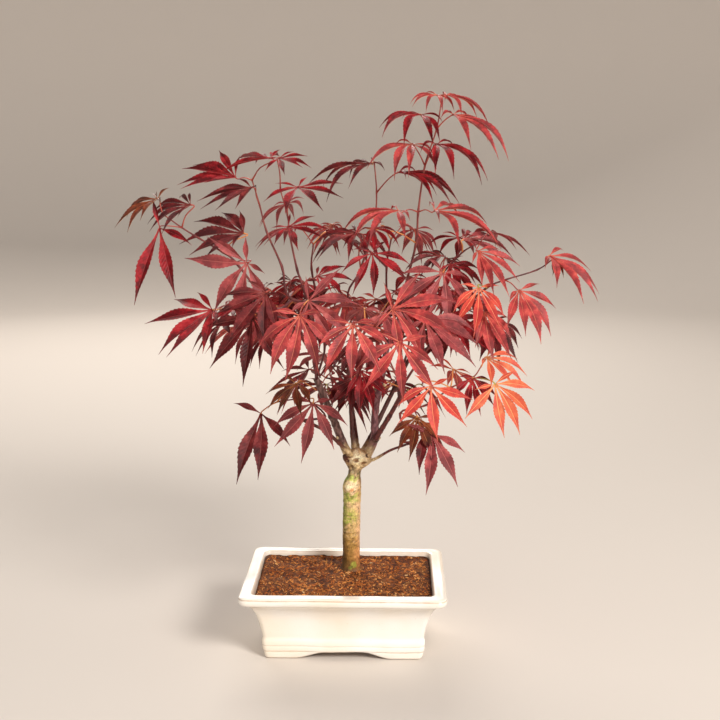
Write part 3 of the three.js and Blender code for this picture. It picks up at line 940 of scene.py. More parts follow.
def make_bough(name, material, dice):
    """A bough with knots and a collar at its foot, in pale old bark that turns to smooth young."""
    route_points, foot, end, dark, light = BOUGHS[name]
    route = smooth_route([Vector(p) for p in route_points], BOUGH_STEPS)
    knots = [dice.uniform(0.1, 0.95) for _ in range(len(route_points))]
    radii = []
    for i in range(len(route)):
        t = i / (len(route) - 1)
        swelling = sum(math.exp(-((t - knot) / KNOT_LENGTH) ** 2) for knot in knots)
        collar = COLLAR_SWELL * math.exp(-(t / COLLAR_LENGTH) ** 2)
        radii.append(0.5 * blend(foot, end, t) * (1 + KNOT_SWELL * swelling + collar))

    def bough_colour(point):
        old = young_bark_colour(point, *OLD_BARK, 2.0)
        young = young_bark_colour(point, dark, light, len(name))
        rough = 5 * wobble(point, 5, 16.0)
        from_foot = (point - route[0]).length
        share = max(
            ease(KNUCKLE_TOP - 2, KNUCKLE_TOP + 12, point.z + rough),
            ease(OLD_BARK_REACH - 6, OLD_BARK_REACH + 4, from_foot + rough))
        return old.lerp(young, share)

    heap = Heap("bark")
    add_tube(heap, route, radii, BOUGH_SIDES, young_bark_bump, bark=bough_colour)
    return heap.piece(name + "_bark", material)


def make_snags(material):
    heap = Heap("bark")
    for foot, direction, length, radius in SNAGS:
        start = Vector(foot)
        pointing = Vector(direction).normalized()
        route = [start + pointing * length * t for t, _ in SNAG_PROFILE]
        radii = [radius * share for _, share in SNAG_PROFILE]

        def snag_colour(point):
            cut_end = (point - start).dot(pointing) > 0.8 * length
            return young_bark_colour(point, *(CUT_WOOD if cut_end else SNAG_BARK), radius)

        add_tube(heap, route, radii, SNAG_SIDES, young_bark_bump, bark=snag_colour)
    return heap.piece("cut_snags", material)


# ---------------------------------------------------------------- twigs

CROWN_SEED = 2024
CROWN_AXIS = Vector((15, 20, 0))
CROWN_FOOT = 190.0
CROWN_TIP = 545.0
TWIG_STEPS = 5
TWIG_SIDES = 8
NODE_SWELL = 1.35
OLD_SHOOT_RADIUS = 1.25
OLD_SHOOT = ("4e1f22", "924242")
YOUNG_SHOOT = ("86383a", "bc6a5c")
RIPENING = (360.0, 470.0)  # heights over which an old shoot turns into this year's wood


class Crown:
    """The growing crown: joined heaps for each kind of piece, and the nodes laid so far."""

    def __init__(self):
        self.twigs = Heap("bark")
        self.petioles = {name: Heap() for name in STALK_TINTS}
        self.sheets = {tint: Heap("across", "along") for tint in LEAF_TINTS}
        self.ribs = {tint: Heap() for tint in LEAF_TINTS}
        self.nodes = [Vector(route[-1]) for route, *_ in BOUGHS.values()]


def high_share(point):
    """0 at the foot of the crown and 1 at its tip."""
    return ease(CROWN_FOOT, CROWN_TIP, point.z)


def near_tip(point):
    """0 low in the crown and 1 in its upper part, where leaves are slim and hang."""
    return ease(0.35, 0.9, high_share(point))


def place_to_grow(nodes, goal, fall_cost, slack=0.0):
    """The nearest node to grow from, where every millimetre of growing downwards costs extra."""
    return min(
        nodes, key=lambda p: (p - goal).length + fall_cost * max(0.0, p.z - goal.z + slack))


def add_shoot(crown, nodes, foot_radius, tip_radius):
    """A shoot through its nodes, a little swollen at each, thinning to its tip."""
    route = smooth_route(nodes, TWIG_STEPS)
    radii = []
    for i in range(len(route)):
        t = i / (len(route) - 1)
        at_node = i % TWIG_STEPS == 0 and 0 < i
        swell = NODE_SWELL if at_node else 1.0
        radii.append(blend(foot_radius, tip_radius, t ** 0.8) * swell)

    def shoot_colour(point):
        old = young_bark_colour(point, *OLD_SHOOT, 3.0)
        young = young_bark_colour(point, *YOUNG_SHOOT, 3.0)
        share = 1.0 if foot_radius < OLD_SHOOT_RADIUS else ease(*RIPENING, point.z)
        return old.lerp(young, share)

    add_tube(crown.twigs, route, radii, TWIG_SIDES, bark=shoot_colour)
    crown.nodes.extend(nodes)


# Listed shoots: the bough, foot and tip radius, then each node by foliage mass, as shares of
# the mass's width, depth and height, and the direction in plan of a leaf the rule adds there.
SHOOTS = (
    ("bough_right", 1.7, 0.6, (
        ("heart", .58, .60, -.10), ("heart", .66, .58, .50, 80),
        ("spire", .45, .56, .06, 110), ("spire", .46, .56, .52),
        ("top", .43, .48, .23), ("top", .50, .47, .61), ("top", .53, .47, .93))),
    ("bough_right", 1.3, 0.6, (
        ("heart", .29, .61, .39, 150), ("heart", .37, .63, .73),
        ("back_top", .71, .00, .54), ("short_shoot", .86, .53, -.28),
        ("short_shoot", .83, .50, .60))),
    ("bough_left", 1.6, 0.6, (
        ("left", .91, .83, .27), ("left", .83, .84, .71), ("upper_left", .57, .42, .18),
        ("upper_left", .53, .44, .46), ("upper_left", .49, .44, .72))),
    ("bough_left", 1.6, 0.6, (
        ("left", 1.08, .81, -.13), ("left", .99, .81, .47), ("left", .95, .81, .67),
        ("upper_left", .70, .39, .17), ("upper_left", .69, .41, .34, 90),
        ("upper_left", .65, .42, .62))),
    ("bough_left", 1.5, 0.6, (
        ("left", .77, .78, .17), ("left", .49, .74, .77), ("far_left", 1.32, .45, .48),
        ("far_left", 1.03, .45, .61), ("far_left", .84, .45, .70),
        ("far_left", .62, .45, .82))),
    ("bough_left", 1.3, 0.6, (
        ("low_side", 1.06, .33, .87), ("low_side", .89, .30, .93),
        ("low_side", .72, .28, .98))),
    ("bough_left", 1.3, 0.6, (
        ("centre", .63, .73, .41), ("centre", .55, .50, .71), ("front", .14, .98, 1.16))),
    ("bough_front_right", 1.2, 0.6, (
        ("centre_right", .37, .70, .32), ("centre_right", .28, .42, .64),
        ("front", .63, .78, .97))),
    ("bough_front_right", 1.3, 0.6, (
        ("centre_right", .44, .76, .41), ("centre_right", .47, .50, .73),
        ("centre_right", .40, .33, .94))),
    ("bough_front_right", 1.5, 0.6, (
        ("right_low", .04, .77, .67), ("right", -.03, .50, -.03),
        ("right", .18, .49, .32, 60), ("right", .37, .47, .57), ("right", .50, .49, .65),
        ("far_right", -.16, .44, .64), ("far_right", .15, .50, .86))),
    ("bough_right", 1.4, 0.6, (
        ("heart", .66, .58, .39), ("heart", .89, .50, .68, 70), ("right", .20, .59, .92, 100),
        ("right", .32, .54, 1.02, 60))),
    ("bough_low_right", 1.2, 0.6, (
        ("right_low", .04, .79, .33), ("right_low", .23, .62, .51),
        ("right_low", .40, .52, .78, 80), ("right_low", .55, .45, .94),
        ("right_low", .61, .43, 1.10))),
    ("bough_low_right", 1.2, 0.6, (
        ("low_right", .22, .58, .70), ("low_right", .45, .53, .80, 90),
        ("low_right", .63, .47, .86))),
    ("bough_low_left", 1.3, 0.6, (
        ("low_left", .83, .65, .69), ("low_left", .66, .56, .91),
        ("low_left", .43, .46, .91))),
)

# Listed leaves: the hub's place in a mass, which way the middle lobe points as seen from
# the front in degrees from the right, how much the blade faces the front, length, how widely its
# lobes spread, and tint.
# The tints follow the light: rose and dusty leaves facing the lit front and right are painted light
# and sheen, burgundy and olive leaves low and inside painted shade, and coral and amber leaves on the
# lower right a painted glow over their own orange.
LAID_LEAVES = (
    ("top", .5, .45, .95, -170, .06, 38, .85, "rose"),
    ("top", .55, .4, .95, -6, .08, 52, .75, "rose"),
    ("top", .4, .4, .75, -168, .06, 62, .75, "crimson"),
    ("top", .6, .4, .75, -12, .1, 76, .75, "rose"),
    ("top", .35, .4, .45, -164, .12, 66, .85, "rose"),
    ("top", .5, .4, .45, -14, .08, 70, .75, "crimson"),
    ("short_shoot", .8, .4, .55, 180, .04, 70, .85, "burgundy"),
    ("spire", .35, .55, 1.1, -4, .08, 74, .55, "crimson"),
    ("spire", .35, .45, .55, -178, .08, 68, .8, "rose"),
    ("spire", .55, .45, .55, -4, .12, 80, .8, "rose"),
    ("right", .2, .55, 1.05, 2, .22, 60, .55, "dusty"),
    ("right", .3, .45, .95, -42, .45, 58, .55, "rose"),
    ("far_right", .05, .45, .9, -26, .25, 72, .7, "rose"),
    ("far_right", .15, .4, .8, -70, .3, 22, .6, "olive"),
    ("right", .6, .45, .55, -52, .5, 56, .7, "rose"),
    ("right", .3, .3, .6, -88, .75, 48, .85, "coral"),
    ("right", .35, .35, .35, -66, .6, 52, .5, "rose"),
    ("right", .1, .35, .25, -26, .4, 54, .65, "crimson"),
    ("right_low", .65, .5, 1.2, -20, .3, 46, .75, "amber"),
    ("right_low", .55, .4, .95, -86, .55, 39, .75, "crimson"),
    ("right_low", .7, .3, .9, -58, .78, 56, .9, "amber"),
    ("right_low", .25, .2, .9, -92, .72, 50, 1.0, "coral"),
    ("low_right", .45, .35, 1.1, -100, .55, 46, .75, "olive"),
    ("low_left", .75, .25, .95, -92, .8, 56, .95, "dusty"),
    ("low_left", .6, .35, 1.15, -128, .3, 43, .85, "olive"),
    ("low_left", 1.1, .4, 1.2, -100, .55, 41, .75, "burgundy"),
    ("low_left", 1.15, .35, 1.3, -62, .55, 45, .65, "crimson"),
    ("centre", .5, .1, .8, -93, .84, 62, .9, "rose"),
    ("centre", .55, .25, .9, -26, .8, 52, 1.05, "dusty"),
    ("centre_right", .1, .05, .85, -88, .66, 52, .9, "rose"),
    ("centre_right", .15, .25, .7, -92, .66, 43, .65, "burgundy"),
    ("heart", .45, .2, .95, -70, .5, 50, 1.0, "crimson"),
    ("heart", .1, .25, .7, 5, .35, 38, .75, "crimson"),
    ("heart", .35, .3, 1.15, -172, .22, 54, .75, "burgundy"),
    ("heart", .45, .35, 1.2, -30, .25, 40, .75, "crimson"),
    ("centre_right", .35, .2, .95, -12, .76, 60, .95, "rose"),
    ("centre_right", .4, .1, .7, -93, .82, 57, .95, "rose"),
    ("heart", .9, .2, .75, -118, .72, 56, .95, "dusty"),
    ("right_low", .2, .05, 1.8, -38, .52, 61, .8, "dusty"),
    ("heart", .9, .4, .9, 180, .12, 43, .65, "burgundy"),
    ("heart", .95, .45, .8, -35, .5, 43, .75, "crimson"),
    ("low_side", .55, .2, 1.0, -152, .38, 72, .75, "crimson"),
    ("low_side", .85, .05, .95, -100, .82, 64, .9, "burgundy"),
    ("left", .75, .35, .45, -131, .62, 56, .85, "burgundy"),
    ("left", .55, .75, 1.15, 178, .42, 64, .65, "burgundy"),
    ("left", .6, .5, .8, -139, .92, 62, 1.05, "dusty"),
    ("upper_left", .4, .4, .75, 167, .4, 74, .5, "crimson"),
    ("upper_left", .5, .3, .65, -160, .2, 54, .7, "burgundy"),
    ("upper_left", .6, .35, .95, 180, .08, 56, .65, "crimson"),
    ("upper_left", .65, .35, .95, -22, .2, 40, .65, "crimson"),
    ("upper_left", .75, .4, .65, -24, .14, 56, 1.1, "crimson"),
    ("upper_left", .7, .3, .25, -18, .3, 42, 1.0, "crimson"),
    ("far_left", .55, .5, .95, -164, .18, 64, .95, "olive"),
    ("far_left", .95, .45, .9, -176, .34, 52, .6, "burgundy"),
)
# Leaves of few lobes that hang at the crown's lower and outer ends, in the same order.
LAID_HANGING = (
    ("far_left", .6, .35, .7, -94, .7, 74, 1.0, "crimson"),
    ("low_left", .3, .35, .8, -96, .62, 74, .75, "burgundy"),
    ("low_right", .65, .25, .9, -70, .62, 66, .8, "dusty"),
    ("low_right", .6, .35, .95, -96, .5, 48, .7, "burgundy"),
)

# How far the leaves of some masses droop, where they hold themselves straighter or hang more.
LAID_HANG = {
    "top": 1.15, "spire": 1.1, "upper_left": 0.3, "far_left": 0.8, "left": 0.35, "low_side": 0.4,
}
# Greatest half width of a lobe as a share of its length, where a mass has broader leaves.
LAID_BROAD = {"upper_left": 0.098, "left": 0.118, "far_left": 0.095}
OUTWARD_LEAN = 0.3 / 200  # how much blades lean away from the crown's middle with each millimetre

# The foliage masses by main tint, laid out by where the light falls: rose on the top and the lit
# right front is painted light, burgundy on the low and inner masses painted shade, and coral on the
# lower right a painted glow of light through the leaves over their own orange.
MASSES = {
    "crimson": (
        "top", "upper_left", "left", "far_left", "front", "right", "far_right", "back_left",
        "back_right"),
    "rose": ("spire", "centre_right", "back_top"),
    "burgundy": ("heart", "low_side", "centre", "low_right", "low_left", "back_low"),
    "coral": ("right_low",),
    "dusty": ("short_shoot",),
}
# Masses the branching rule fills: how many leaf pairs it adds and how far up in the mass.
RULE_FILL = (
    ("heart", 1, 0.8), ("back_left", 15, 0.65), ("back_right", 15, 0.65), ("back_low", 8, 1.0),
    ("back_top", 4, 0.3),
)
ROUNDED_PART = 0.85  # share of a mass's half size that the rule's shoots may reach
PLACES_TRIED = 14  # the rule takes the one with the most room of so many places
NODE_SPACING = 32.0
SHOOT_SWAY = 0.10
SHOOT_ARCH = 0.09
RULE_SHOOT_RADIUS = (1.0, 1.7)  # at the foot of a short shoot and of a long one
LONG_SHOOT = 130.0
RULE_TIP_RADIUS = 0.75
# Tints that the sprays of a mass are dealt from, by the mass's main tint.
TINT_NEIGHBOURS = {
    "crimson": ("crimson", "crimson", "dusty", "rose", "burgundy"),
    "rose": ("rose", "dusty", "rose", "crimson", "dusty"),
    "dusty": ("dusty", "crimson"),
    "burgundy": ("burgundy", "burgundy", "crimson", "dusty", "crimson"),
    "coral": ("coral", "amber", "coral", "rose", "crimson"),
}


def lay_shoots(crown):
    """Grows the listed shoots on from their boughs and gives back the nodes that bear leaves."""
    bearing = []
    for bough, foot_radius, tip_radius, stops in SHOOTS:
        end = Vector(BOUGHS[bough][0][-1])
        nodes = [spot("foliage_" + mass, *shares[:3]) for mass, *shares in stops]
        foot = place_to_grow([end, *crown.nodes], nodes[0], 2.0)
        add_shoot(crown, [foot, *nodes], foot_radius, tip_radius)
        for before, node, (mass, *shares) in zip([foot, *nodes], nodes, stops):
            bearing.append((node, (node - before).normalized(), shares[3:], mass))
    return bearing


def grow_rule_shoots(crown, dice):
    """Grows seeded shoots from the nearest limb or shoot into the parts of each mass left open."""
    bearing = []
    for mass, pairs, up_to in RULE_FILL:
        for _ in range(pairs):
            best = max(
                (random_place(mass, up_to, dice) for _ in range(PLACES_TRIED)),
                key=lambda p: min((p - n).length for n in crown.nodes))
            foot = place_to_grow(crown.nodes, best, 1.5, 12.0)
            span = best - foot
            steps = max(2, round(span.length / NODE_SPACING))
            sway = Vector((dice.uniform(-1, 1), dice.uniform(-1, 1), 0)) * SHOOT_SWAY * span.length
            nodes = [foot]
            for i in range(1, steps + 1):
                t = i / steps
                arch = math.sin(t * math.pi)
                nodes.append(foot + span * t + sway * arch + UP * SHOOT_ARCH * span.length * arch)
            foot_radius = blend(*RULE_SHOOT_RADIUS, span.length / LONG_SHOOT)
            add_shoot(crown, nodes, foot_radius, RULE_TIP_RADIUS)
            turn = dice.uniform(0, 180)
            tip_ahead = (nodes[-1] - nodes[-2]).normalized()
            bearing.append((nodes[-1], tip_ahead, (turn, turn + 180), mass))
            if steps > 2:
                bearing.append((nodes[-2], tip_ahead, (turn + dice.choice((90, 270)),), mass))
    return bearing


def random_place(mass, up_to, dice):
    """A place in the rounded part of a mass, no higher than a share of its height."""
    while True:
        shares = [dice.uniform(-1, 1) for _ in range(3)]
        if math.hypot(*shares) < ROUNDED_PART:
            across, deep, high = (0.5 + 0.5 * s for s in shares)
            return spot("foliage_" + mass, across, deep, high * up_to)


# ---------------------------------------------------------------- leaves

# Each lobe's turn from the middle lobe, its length as a share of the middle one, and its lift.
LOBES = (
    (0, 1.0, 0.0), (36, 0.93, 0.0), (-36, 0.93, 0.0), (74, 0.76, 0.04), (-74, 0.76, 0.04),
    (122, 0.40, 0.30), (-122, 0.40, 0.30),
)
# The same for a hanging leaf of few lobes.
HANGING_LOBES = ((-16, 1.0, 0.0), (20, 0.92, 0.0), (66, 0.6, 0.1), (-160, 0.42, 0.2))
# Lobe outline: share of the length, share of the greatest half width.
LOBE_OUTLINE = (
    (0.0, 0.17), (0.07, 0.16), (0.13, 0.21), (0.19, 0.33), (0.25, 0.50), (0.31, 0.68),
    (0.37, 0.84), (0.43, 0.95), (0.49, 1.0), (0.55, 0.97), (0.61, 0.86), (0.67, 0.70),
    (0.73, 0.52), (0.79, 0.35), (0.85, 0.21), (0.90, 0.12), (0.95, 0.07), (1.0, 0.03),
)
LOBE_WIDTH = 0.107  # greatest half width as a share of the lobe's length, low in the crown
LOBE_WIDTH_TOP = 0.078
FOLD = (0.22, 0.5)  # least fold of a lobe along its rib in radians, low in the crown and high
DROOP_GATHERS = 1.8  # the droop of a lobe grows with the share of its length
# Each tooth: how far along its stretch of the edge, how much it rakes forward, how far it stands
# out as a share of the blade's half width there.
TOOTH_REACH = 0.55
TOOTH_RAKE = 0.3
TOOTH_STAND = 1.14
RIB_RADIUS = 0.42
# The rib: stations of the outline and the share of the rib's radius there.
RIB_STOPS = ((0, 1.3), (3, 1.0), (6, 0.85), (9, 0.7), (12, 0.5), (15, 0.35), (17, 0.2))
RULE_LEAF_LENGTH = (42, 56)
RULE_STALK_LENGTH = (17, 26)
SPILL = 5.0  # how far leaf tips may stand out of the overall box
SHORTEST_LEAF = 26.0
STALK_RADIUS = 0.62
STALK_SIDES = 5
STALK_TINTS = {
    "red": ("8f2f2c", "b8503c"), "amber": ("c9703c", "e8a05c"), "green": ("9c9a3c", "d0c060"),
}
LOW_LEAVES = 245.0  # below this height the stalks are green or amber
TO_THE_LIGHT = Vector((0.4, -0.6, 0.7)).normalized()  # the way the rule's blades turn a little


def lobe_width(hub):
    """Greatest half width of a lobe as a share of its length, slimmer towards the crown's tip."""
    return blend(LOBE_WIDTH, LOBE_WIDTH_TOP, near_tip(hub))


def add_lobe(crown, tint, hub, heading, facing, length, broad, droop, fold, curl):
    """One lobe: a toothed blade folded along its rib and drooping to its tip."""
    sheet = crown.sheets[tint]
    place = hub.copy()
    ahead = heading.copy()
    up_side = facing.copy()
    middles, lefts, rights = [], [], []
    last_share = 0.0
    for share, width in LOBE_OUTLINE:
        step = share - last_share
        ahead = ahead - UP * droop * step * (0.1 + DROOP_GATHERS * share)
        ahead = (ahead + up_side.cross(ahead) * curl * step).normalized()
        place = place + ahead * step * length
        beside = up_side.cross(ahead).normalized()
        up_side = ahead.cross(beside)
        half = length * broad * width
        reach = beside * half * math.cos(fold)
        rise = up_side * half * math.sin(fold)
        middles.append(place.copy())
        lefts.append(place + reach + rise)
        rights.append(place - reach + rise)
        last_share = share
    count = len(middles)
    toothed = range(1, count - 2)
    teeth = []
    for edge in (lefts, rights):
        for i in toothed:
            on_edge = edge[i].lerp(edge[i + 1], TOOTH_REACH + TOOTH_RAKE)
            on_rib = middles[i].lerp(middles[i + 1], TOOTH_REACH)
            teeth.append(on_rib + (on_edge - on_rib) * TOOTH_STAND)
    faces = []
    for i in range(count - 1):
        left, right = count + i, 2 * count + i
        faces.append((i, i + 1, left + 1, left))
        faces.append((i, right, right + 1, i + 1))
        if i in toothed:
            tooth_left = 3 * count + i - 1
            faces.append((left, left + 1, tooth_left))
            faces.append((right, tooth_left + len(toothed), right + 1))
    shares = [share for share, _ in LOBE_OUTLINE]
    sides = ((0.0, count), (-0.9, count), (0.9, count), (-1.0, len(toothed)), (1.0, len(toothed)))
    start = sheet.add(
        middles + lefts + rights + teeth, faces,
        across=[side for side, repeats in sides for _ in range(repeats)],
        along=shares * 3 + shares[1:-2] * 2)
    sheet.creases.extend(range(start, start + count))
    rib_route = [middles[i] for i, _ in RIB_STOPS]
    add_tube(crown.ribs[tint], rib_route, [RIB_RADIUS * share for _, share in RIB_STOPS], 3)


def fitting_length(hub, heading, length):
    """The leaf length that keeps its tip within the plant's overall width and depth."""
    low, high = to_mm(CAD_LOW), to_mm(CAD_HIGH)
    for axis in (0, 1):
        edge = high[axis] + SPILL if heading[axis] > 0 else low[axis] - SPILL
        if abs(heading[axis]) > 0.1:
            length = min(length, max((edge - hub[axis]) / heading[axis], SHORTEST_LEAF))
    return length


def along_blade(heading, facing):
    """A heading laid into the plane of a blade that faces a given way."""
    return (heading - facing * heading.dot(facing)).normalized()


def add_leaf(crown, hub, facing, heading, length, broad, droop, spread, tint, dice, lobes):
    """A whole leaf: lobes spread from the hub, each with its own small bend and fold."""
    heading = along_blade(heading, facing)
    side = facing.cross(heading)
    length = fitting_length(hub, heading, length)
    for turn, share, lift in lobes:
        angle = math.radians(turn * spread + dice.uniform(-5, 5))
        pointing = heading * math.cos(angle) + side * math.sin(angle)
        pointing = (pointing + facing * (lift + dice.uniform(-0.06, 0.10))).normalized()
        across = facing.cross(pointing).normalized()
        upright = pointing.cross(across)
        add_lobe(
            crown, tint, hub + pointing * 0.6, pointing, upright,
            length * share * dice.uniform(0.92, 1.07), broad, droop * dice.uniform(0.75, 1.3),
            blend(*FOLD, near_tip(hub)) + dice.uniform(0.0, 0.4), dice.uniform(-0.35, 0.35))


def add_petiole(crown, node, hub, facing, heading, colour):
    """The stalk from a node to a leaf's hub, ending in the small flat knot the lobes spring from."""
    span = (hub - node).length
    rise = node + (hub - node) * 0.45 + UP * span * 0.08
    under = hub - heading * span * 0.14 - facing * span * 0.08
    route = smooth_route([node, rise, under, hub + facing * 0.25], 3)
    thin = [STALK_RADIUS] * (len(route) - 4)
    radii = [1.0, 0.75, *thin, 0.75, 1.15]
    add_tube(crown.petioles[colour], route, radii, STALK_SIDES)


def petiole_colour(point, tint, dice):
    """Stalks are red, but green or amber low in the crown and under the orange leaves."""
    if tint in ("coral", "amber") or point.z < LOW_LEAVES:
        return dice.choice(("green", "amber"))
    return dice.choice(("red", "red", "amber", "red"))


def add_laid_leaves(crown, rows, lobes, dice):
    """Leaves of the tables, turned so that their middle lobe points as it should from the front."""
    for mass, across, deep, high, clock, to_front, length, spread, tint in rows:
        hub = spot("foliage_" + mass, across, deep, high)
        node = place_to_grow(crown.nodes, hub, 0.8, 6.0)
        tip_over = math.radians(90 * to_front)
        lean = OUTWARD_LEAN * (hub.x - CROWN_AXIS.x)
        facing = Vector((lean, -math.sin(tip_over) - 0.04, math.cos(tip_over))).normalized()
        turn = math.radians(clock)
        seen = Vector((math.cos(turn), 0, math.sin(turn)))
        heading = (seen - Vector((0, 1, 0)) * seen.dot(facing) / facing.y).normalized()
        hanging = LAID_HANG.get(mass, blend(0.5, 1.1, high_share(hub)))
        droop = hanging * blend(1.2, 0.5, to_front)
        add_petiole(crown, node, hub, facing, heading, petiole_colour(hub, tint, dice))
        broad = LAID_BROAD.get(mass, lobe_width(hub))
        add_leaf(crown, hub, facing, heading, length, broad, droop, spread, tint, dice, lobes)


def main_tint(mass):
    return next(tint for tint, masses in MASSES.items() if mass in masses)


def add_rule_leaves(crown, node, ahead, turns, mass, dice):
    """Leaves at a node, held out to the light and drooping as they hang."""
    up_share = high_share(node)
    tint = dice.choice(TINT_NEIGHBOURS[main_tint(mass)])
    for turn in turns:
        angle = math.radians(turn + dice.uniform(-18, 18))
        outward = Vector((math.cos(angle), math.sin(angle), 0))
        stalk = (outward * 0.85 + UP * 0.5 + ahead * 0.35).normalized()
        hub = node + stalk * dice.uniform(*RULE_STALK_LENGTH)
        from_axis = Vector((hub.x - CROWN_AXIS.x, hub.y - CROWN_AXIS.y, 0)).normalized()
        away = (outward + from_axis * 0.8).normalized()
        facing = UP * blend(0.5, 0.85, up_share) + away * blend(0.75, 0.3, up_share)
        facing = facing + TO_THE_LIGHT * 0.2
        facing = facing + Vector([dice.uniform(-0.22, 0.22) for _ in range(3)])
        facing = facing.normalized()
        heading = away + outward * 0.5 - UP * dice.uniform(0.3, 0.9)
        heading = along_blade(heading, facing)
        length = dice.uniform(*RULE_LEAF_LENGTH) * (0.85 if up_share > 0.8 else 1.0)
        droop = blend(0.45, 1.25, up_share) * dice.uniform(0.8, 1.2)
        add_petiole(crown, node, hub, facing, heading, petiole_colour(hub, tint, dice))
        spread = dice.uniform(0.75, 1.0)
        add_leaf(
            crown, hub, facing, heading, length, lobe_width(hub), droop, spread, tint, dice, LOBES)


def leaf_material(tint):
    """Patchy leaf colour, darker to the tips, with fine side veins and a little light let through."""
    base, dark, light, _ = LEAF_TINTS[tint]
    finish = Finish("leaf_" + tint)
    along = finish.value("along")
    from_rib = finish.math("ABSOLUTE", finish.value("across"))
    darker_tip = finish.math(
        "ADD", finish.noise(75, 4.0, 0.7), finish.math("MULTIPLY", along, 0.22))
    mixed = finish.math("ADD", darker_tip, finish.math("MULTIPLY", from_rib, -0.10))
    finish.dress({
        "Base Color": finish.ramp(mixed, (0.34, light), (0.5, base), (0.66, dark)),
        "Roughness": 0.48, "Specular IOR Level": 0.32, "Sheen Weight": 0.06,
        "Sheen Roughness": 0.4, "Sheen Tint": linear("e8b8b4")})
    veins = finish.math("SUBTRACT", along, finish.math("MULTIPLY", from_rib, 0.12))
    finish.bump(finish.math("SINE", finish.math("MULTIPLY", veins, 110.0)), 0.35, 0.25)
    glow = finish.add("ShaderNodeBsdfTranslucent", {"Color": linear(base)})
    both = finish.add("ShaderNodeMixShader", {
        "Fac": 0.16, 1: finish.shader.outputs["BSDF"], 2: glow.outputs["BSDF"]})
    surface = finish.tree.nodes["Material Output"]
    set_inputs(finish.tree, surface, {"Surface": both.outputs["Shader"]})
    return finish.material


def stalk_material(name, dark, light):
    finish = Finish(name)
    patches = finish.noise(60, 2.0)
    finish.dress({
        "Base Color": finish.ramp(patches, (0.35, dark), (0.65, light)), "Roughness": 0.42})
    return finish.material


# ---------------------------------------------------------------- putting it together

def belongs(piece, slot, *nodes):
    """A piece rides on the pot's body and may stand for CAD nodes, which it hides; the slot is not
    used.
    """
    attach(piece, "root")
    if nodes:
        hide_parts(*nodes)


def build_pot_and_soil():
    belongs(make_pot(glaze_material()), "glaze", "pot")
    belongs(make_soil(soil_material("damp_bark_bed", False)), "bark_chips", "soil")
    for chips in make_chips(soil_material("bark_chip_bits", True)):
        belongs(chips, "bark_chips")


def build_limbs():
    belongs(make_trunk(bark_material("trunk_bark", 0.62, 0.35)), "trunk_bark", "trunk")
    young = bark_material("young_bark", 0.5, 0.2)
    dice = random.Random(BOUGH_SEED)
    for name in BOUGHS:
        belongs(make_bough(name, young, dice), "young_bark", name)
    belongs(make_snags(young), "young_bark")
    return young


def build_crown(young):
    crown = Crown()
    dice = random.Random(CROWN_SEED)
    bearing = lay_shoots(crown)
    add_laid_leaves(crown, LAID_LEAVES, LOBES, dice)
    add_laid_leaves(crown, LAID_HANGING, HANGING_LOBES, dice)
    bearing += grow_rule_shoots(crown, dice)
    for node, ahead, turns, mass in bearing:
        add_rule_leaves(crown, node, ahead, turns, mass, dice)
    belongs(crown.twigs.piece("red_twigs", young), "young_bark")
    for name, heap in crown.petioles.items():
        material = stalk_material("stalk_" + name, *STALK_TINTS[name])
        belongs(heap.piece("leaf_stalks_" + name, material), "young_bark")
    for tint in LEAF_TINTS:
        slot = "leaf_" + SLOT_TINTS.get(tint, tint)
        sheet = crown.sheets[tint].piece("leaves_" + tint, leaf_material(tint))
        belongs(sheet, slot, *("foliage_" + mass for mass in MASSES.get(tint, ())))
        rib_colour = LEAF_TINTS[tint][-1]
        ribs = stalk_material("rib_" + tint, rib_colour, rib_colour)
        belongs(crown.ribs[tint].piece("leaf_ribs_" + tint, ribs), slot)


FLOOR_RADIUS = 2.6  # metres, as are the next two
SWEEP_RADIUS = 0.9
SWEEP_HEIGHT = 1.9
SWEEP_STEPS = 12
FLOOR_SEGMENTS = 72


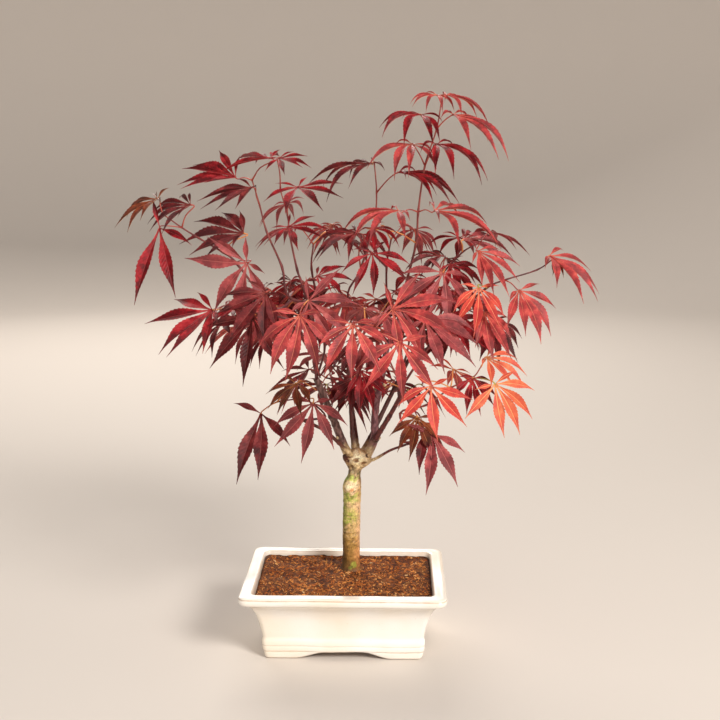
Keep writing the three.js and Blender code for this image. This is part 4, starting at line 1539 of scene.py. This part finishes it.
def make_floor():
    """A plain pale studio floor whose far edge sweeps up all round."""
    profile = [(0.02, 0.0), (FLOOR_RADIUS, 0.0)]
    for step in range(1, SWEEP_STEPS + 1):
        angle = step / SWEEP_STEPS * math.pi / 2
        profile.append((
            FLOOR_RADIUS + SWEEP_RADIUS * math.sin(angle),
            SWEEP_RADIUS * (1 - math.cos(angle)),
        ))
    profile.append((FLOOR_RADIUS + SWEEP_RADIUS, SWEEP_HEIGHT))
    points = []
    for radius, height in profile:
        for i in range(FLOOR_SEGMENTS):
            angle = i / FLOOR_SEGMENTS * math.tau
            points.append((radius * math.cos(angle), radius * math.sin(angle), height))
    faces = [tuple(reversed(face)) for face in ring_faces(len(profile), FLOOR_SEGMENTS, False)]
    faces.append(tuple(range(FLOOR_SEGMENTS)))
    mesh = bpy.data.meshes.new("pale_floor")
    mesh.from_pydata(points, [], faces)
    mesh.polygons.foreach_set("use_smooth", [True] * len(mesh.polygons))
    finish = Finish("pale_floor")
    finish.dress({"Base Color": linear("d8d0c8"), "Roughness": 0.75})
    mesh.materials.append(finish.material)
    add_object("pale_floor", mesh)


def add_light(name, place, target, size, power, colour):
    lamp = bpy.data.lights.new(name, "AREA")
    lamp.shape = "RECTANGLE"
    lamp.size, lamp.size_y = size
    lamp.energy = power
    lamp.color = linear(colour)[:3]
    obj = add_object(name, lamp)
    obj.location = place
    obj.rotation_euler = (Vector(target) - Vector(place)).to_track_quat("-Z", "Y").to_euler()


# Soft lamps: place and aim in metres, width and height, watts, colour.
LAMPS = {
    "key": ((1.4, -1.65, 1.6), (0, 0, 0.25), (0.8, 0.8), 68, "fffaf4"),
    "front_fill": ((-0.9, -2.2, 0.9), (0, 0, 0.2), (1.6, 1.2), 10, "ffffff"),
    "back_fill": ((-0.6, 2.2, 1.6), (0, 0, 0.3), (1.8, 1.2), 42, "fff8f0"),
}


def light_scene():
    world = bpy.data.worlds.new("soft_room")
    world.use_nodes = True
    background = world.node_tree.nodes["Background"]
    set_inputs(world.node_tree, background, {"Color": linear("ece8e4"), "Strength": 0.3})
    bpy.context.scene.world = world
    for name, settings in LAMPS.items():
        add_light(name, *settings)


CAMERA_PLACE = Vector((0.0359, -1.1134, 0.4868))
CAMERA_PITCH = math.radians(90 - 10.15)
CAMERA_YAW = math.radians(1.67)


def add_camera():
    camera = bpy.data.cameras.new("front_camera")
    camera.lens = 58
    camera.sensor_width = 36
    obj = add_object("front_camera", camera)
    obj.location = CAMERA_PLACE
    obj.rotation_euler = (CAMERA_PITCH, 0, CAMERA_YAW)
    bpy.context.scene.camera = obj


add_camera()
build_pot_and_soil()
build_crown(build_limbs())
make_floor()
light_scene()
bpy.context.scene.view_settings.view_transform = "Standard"
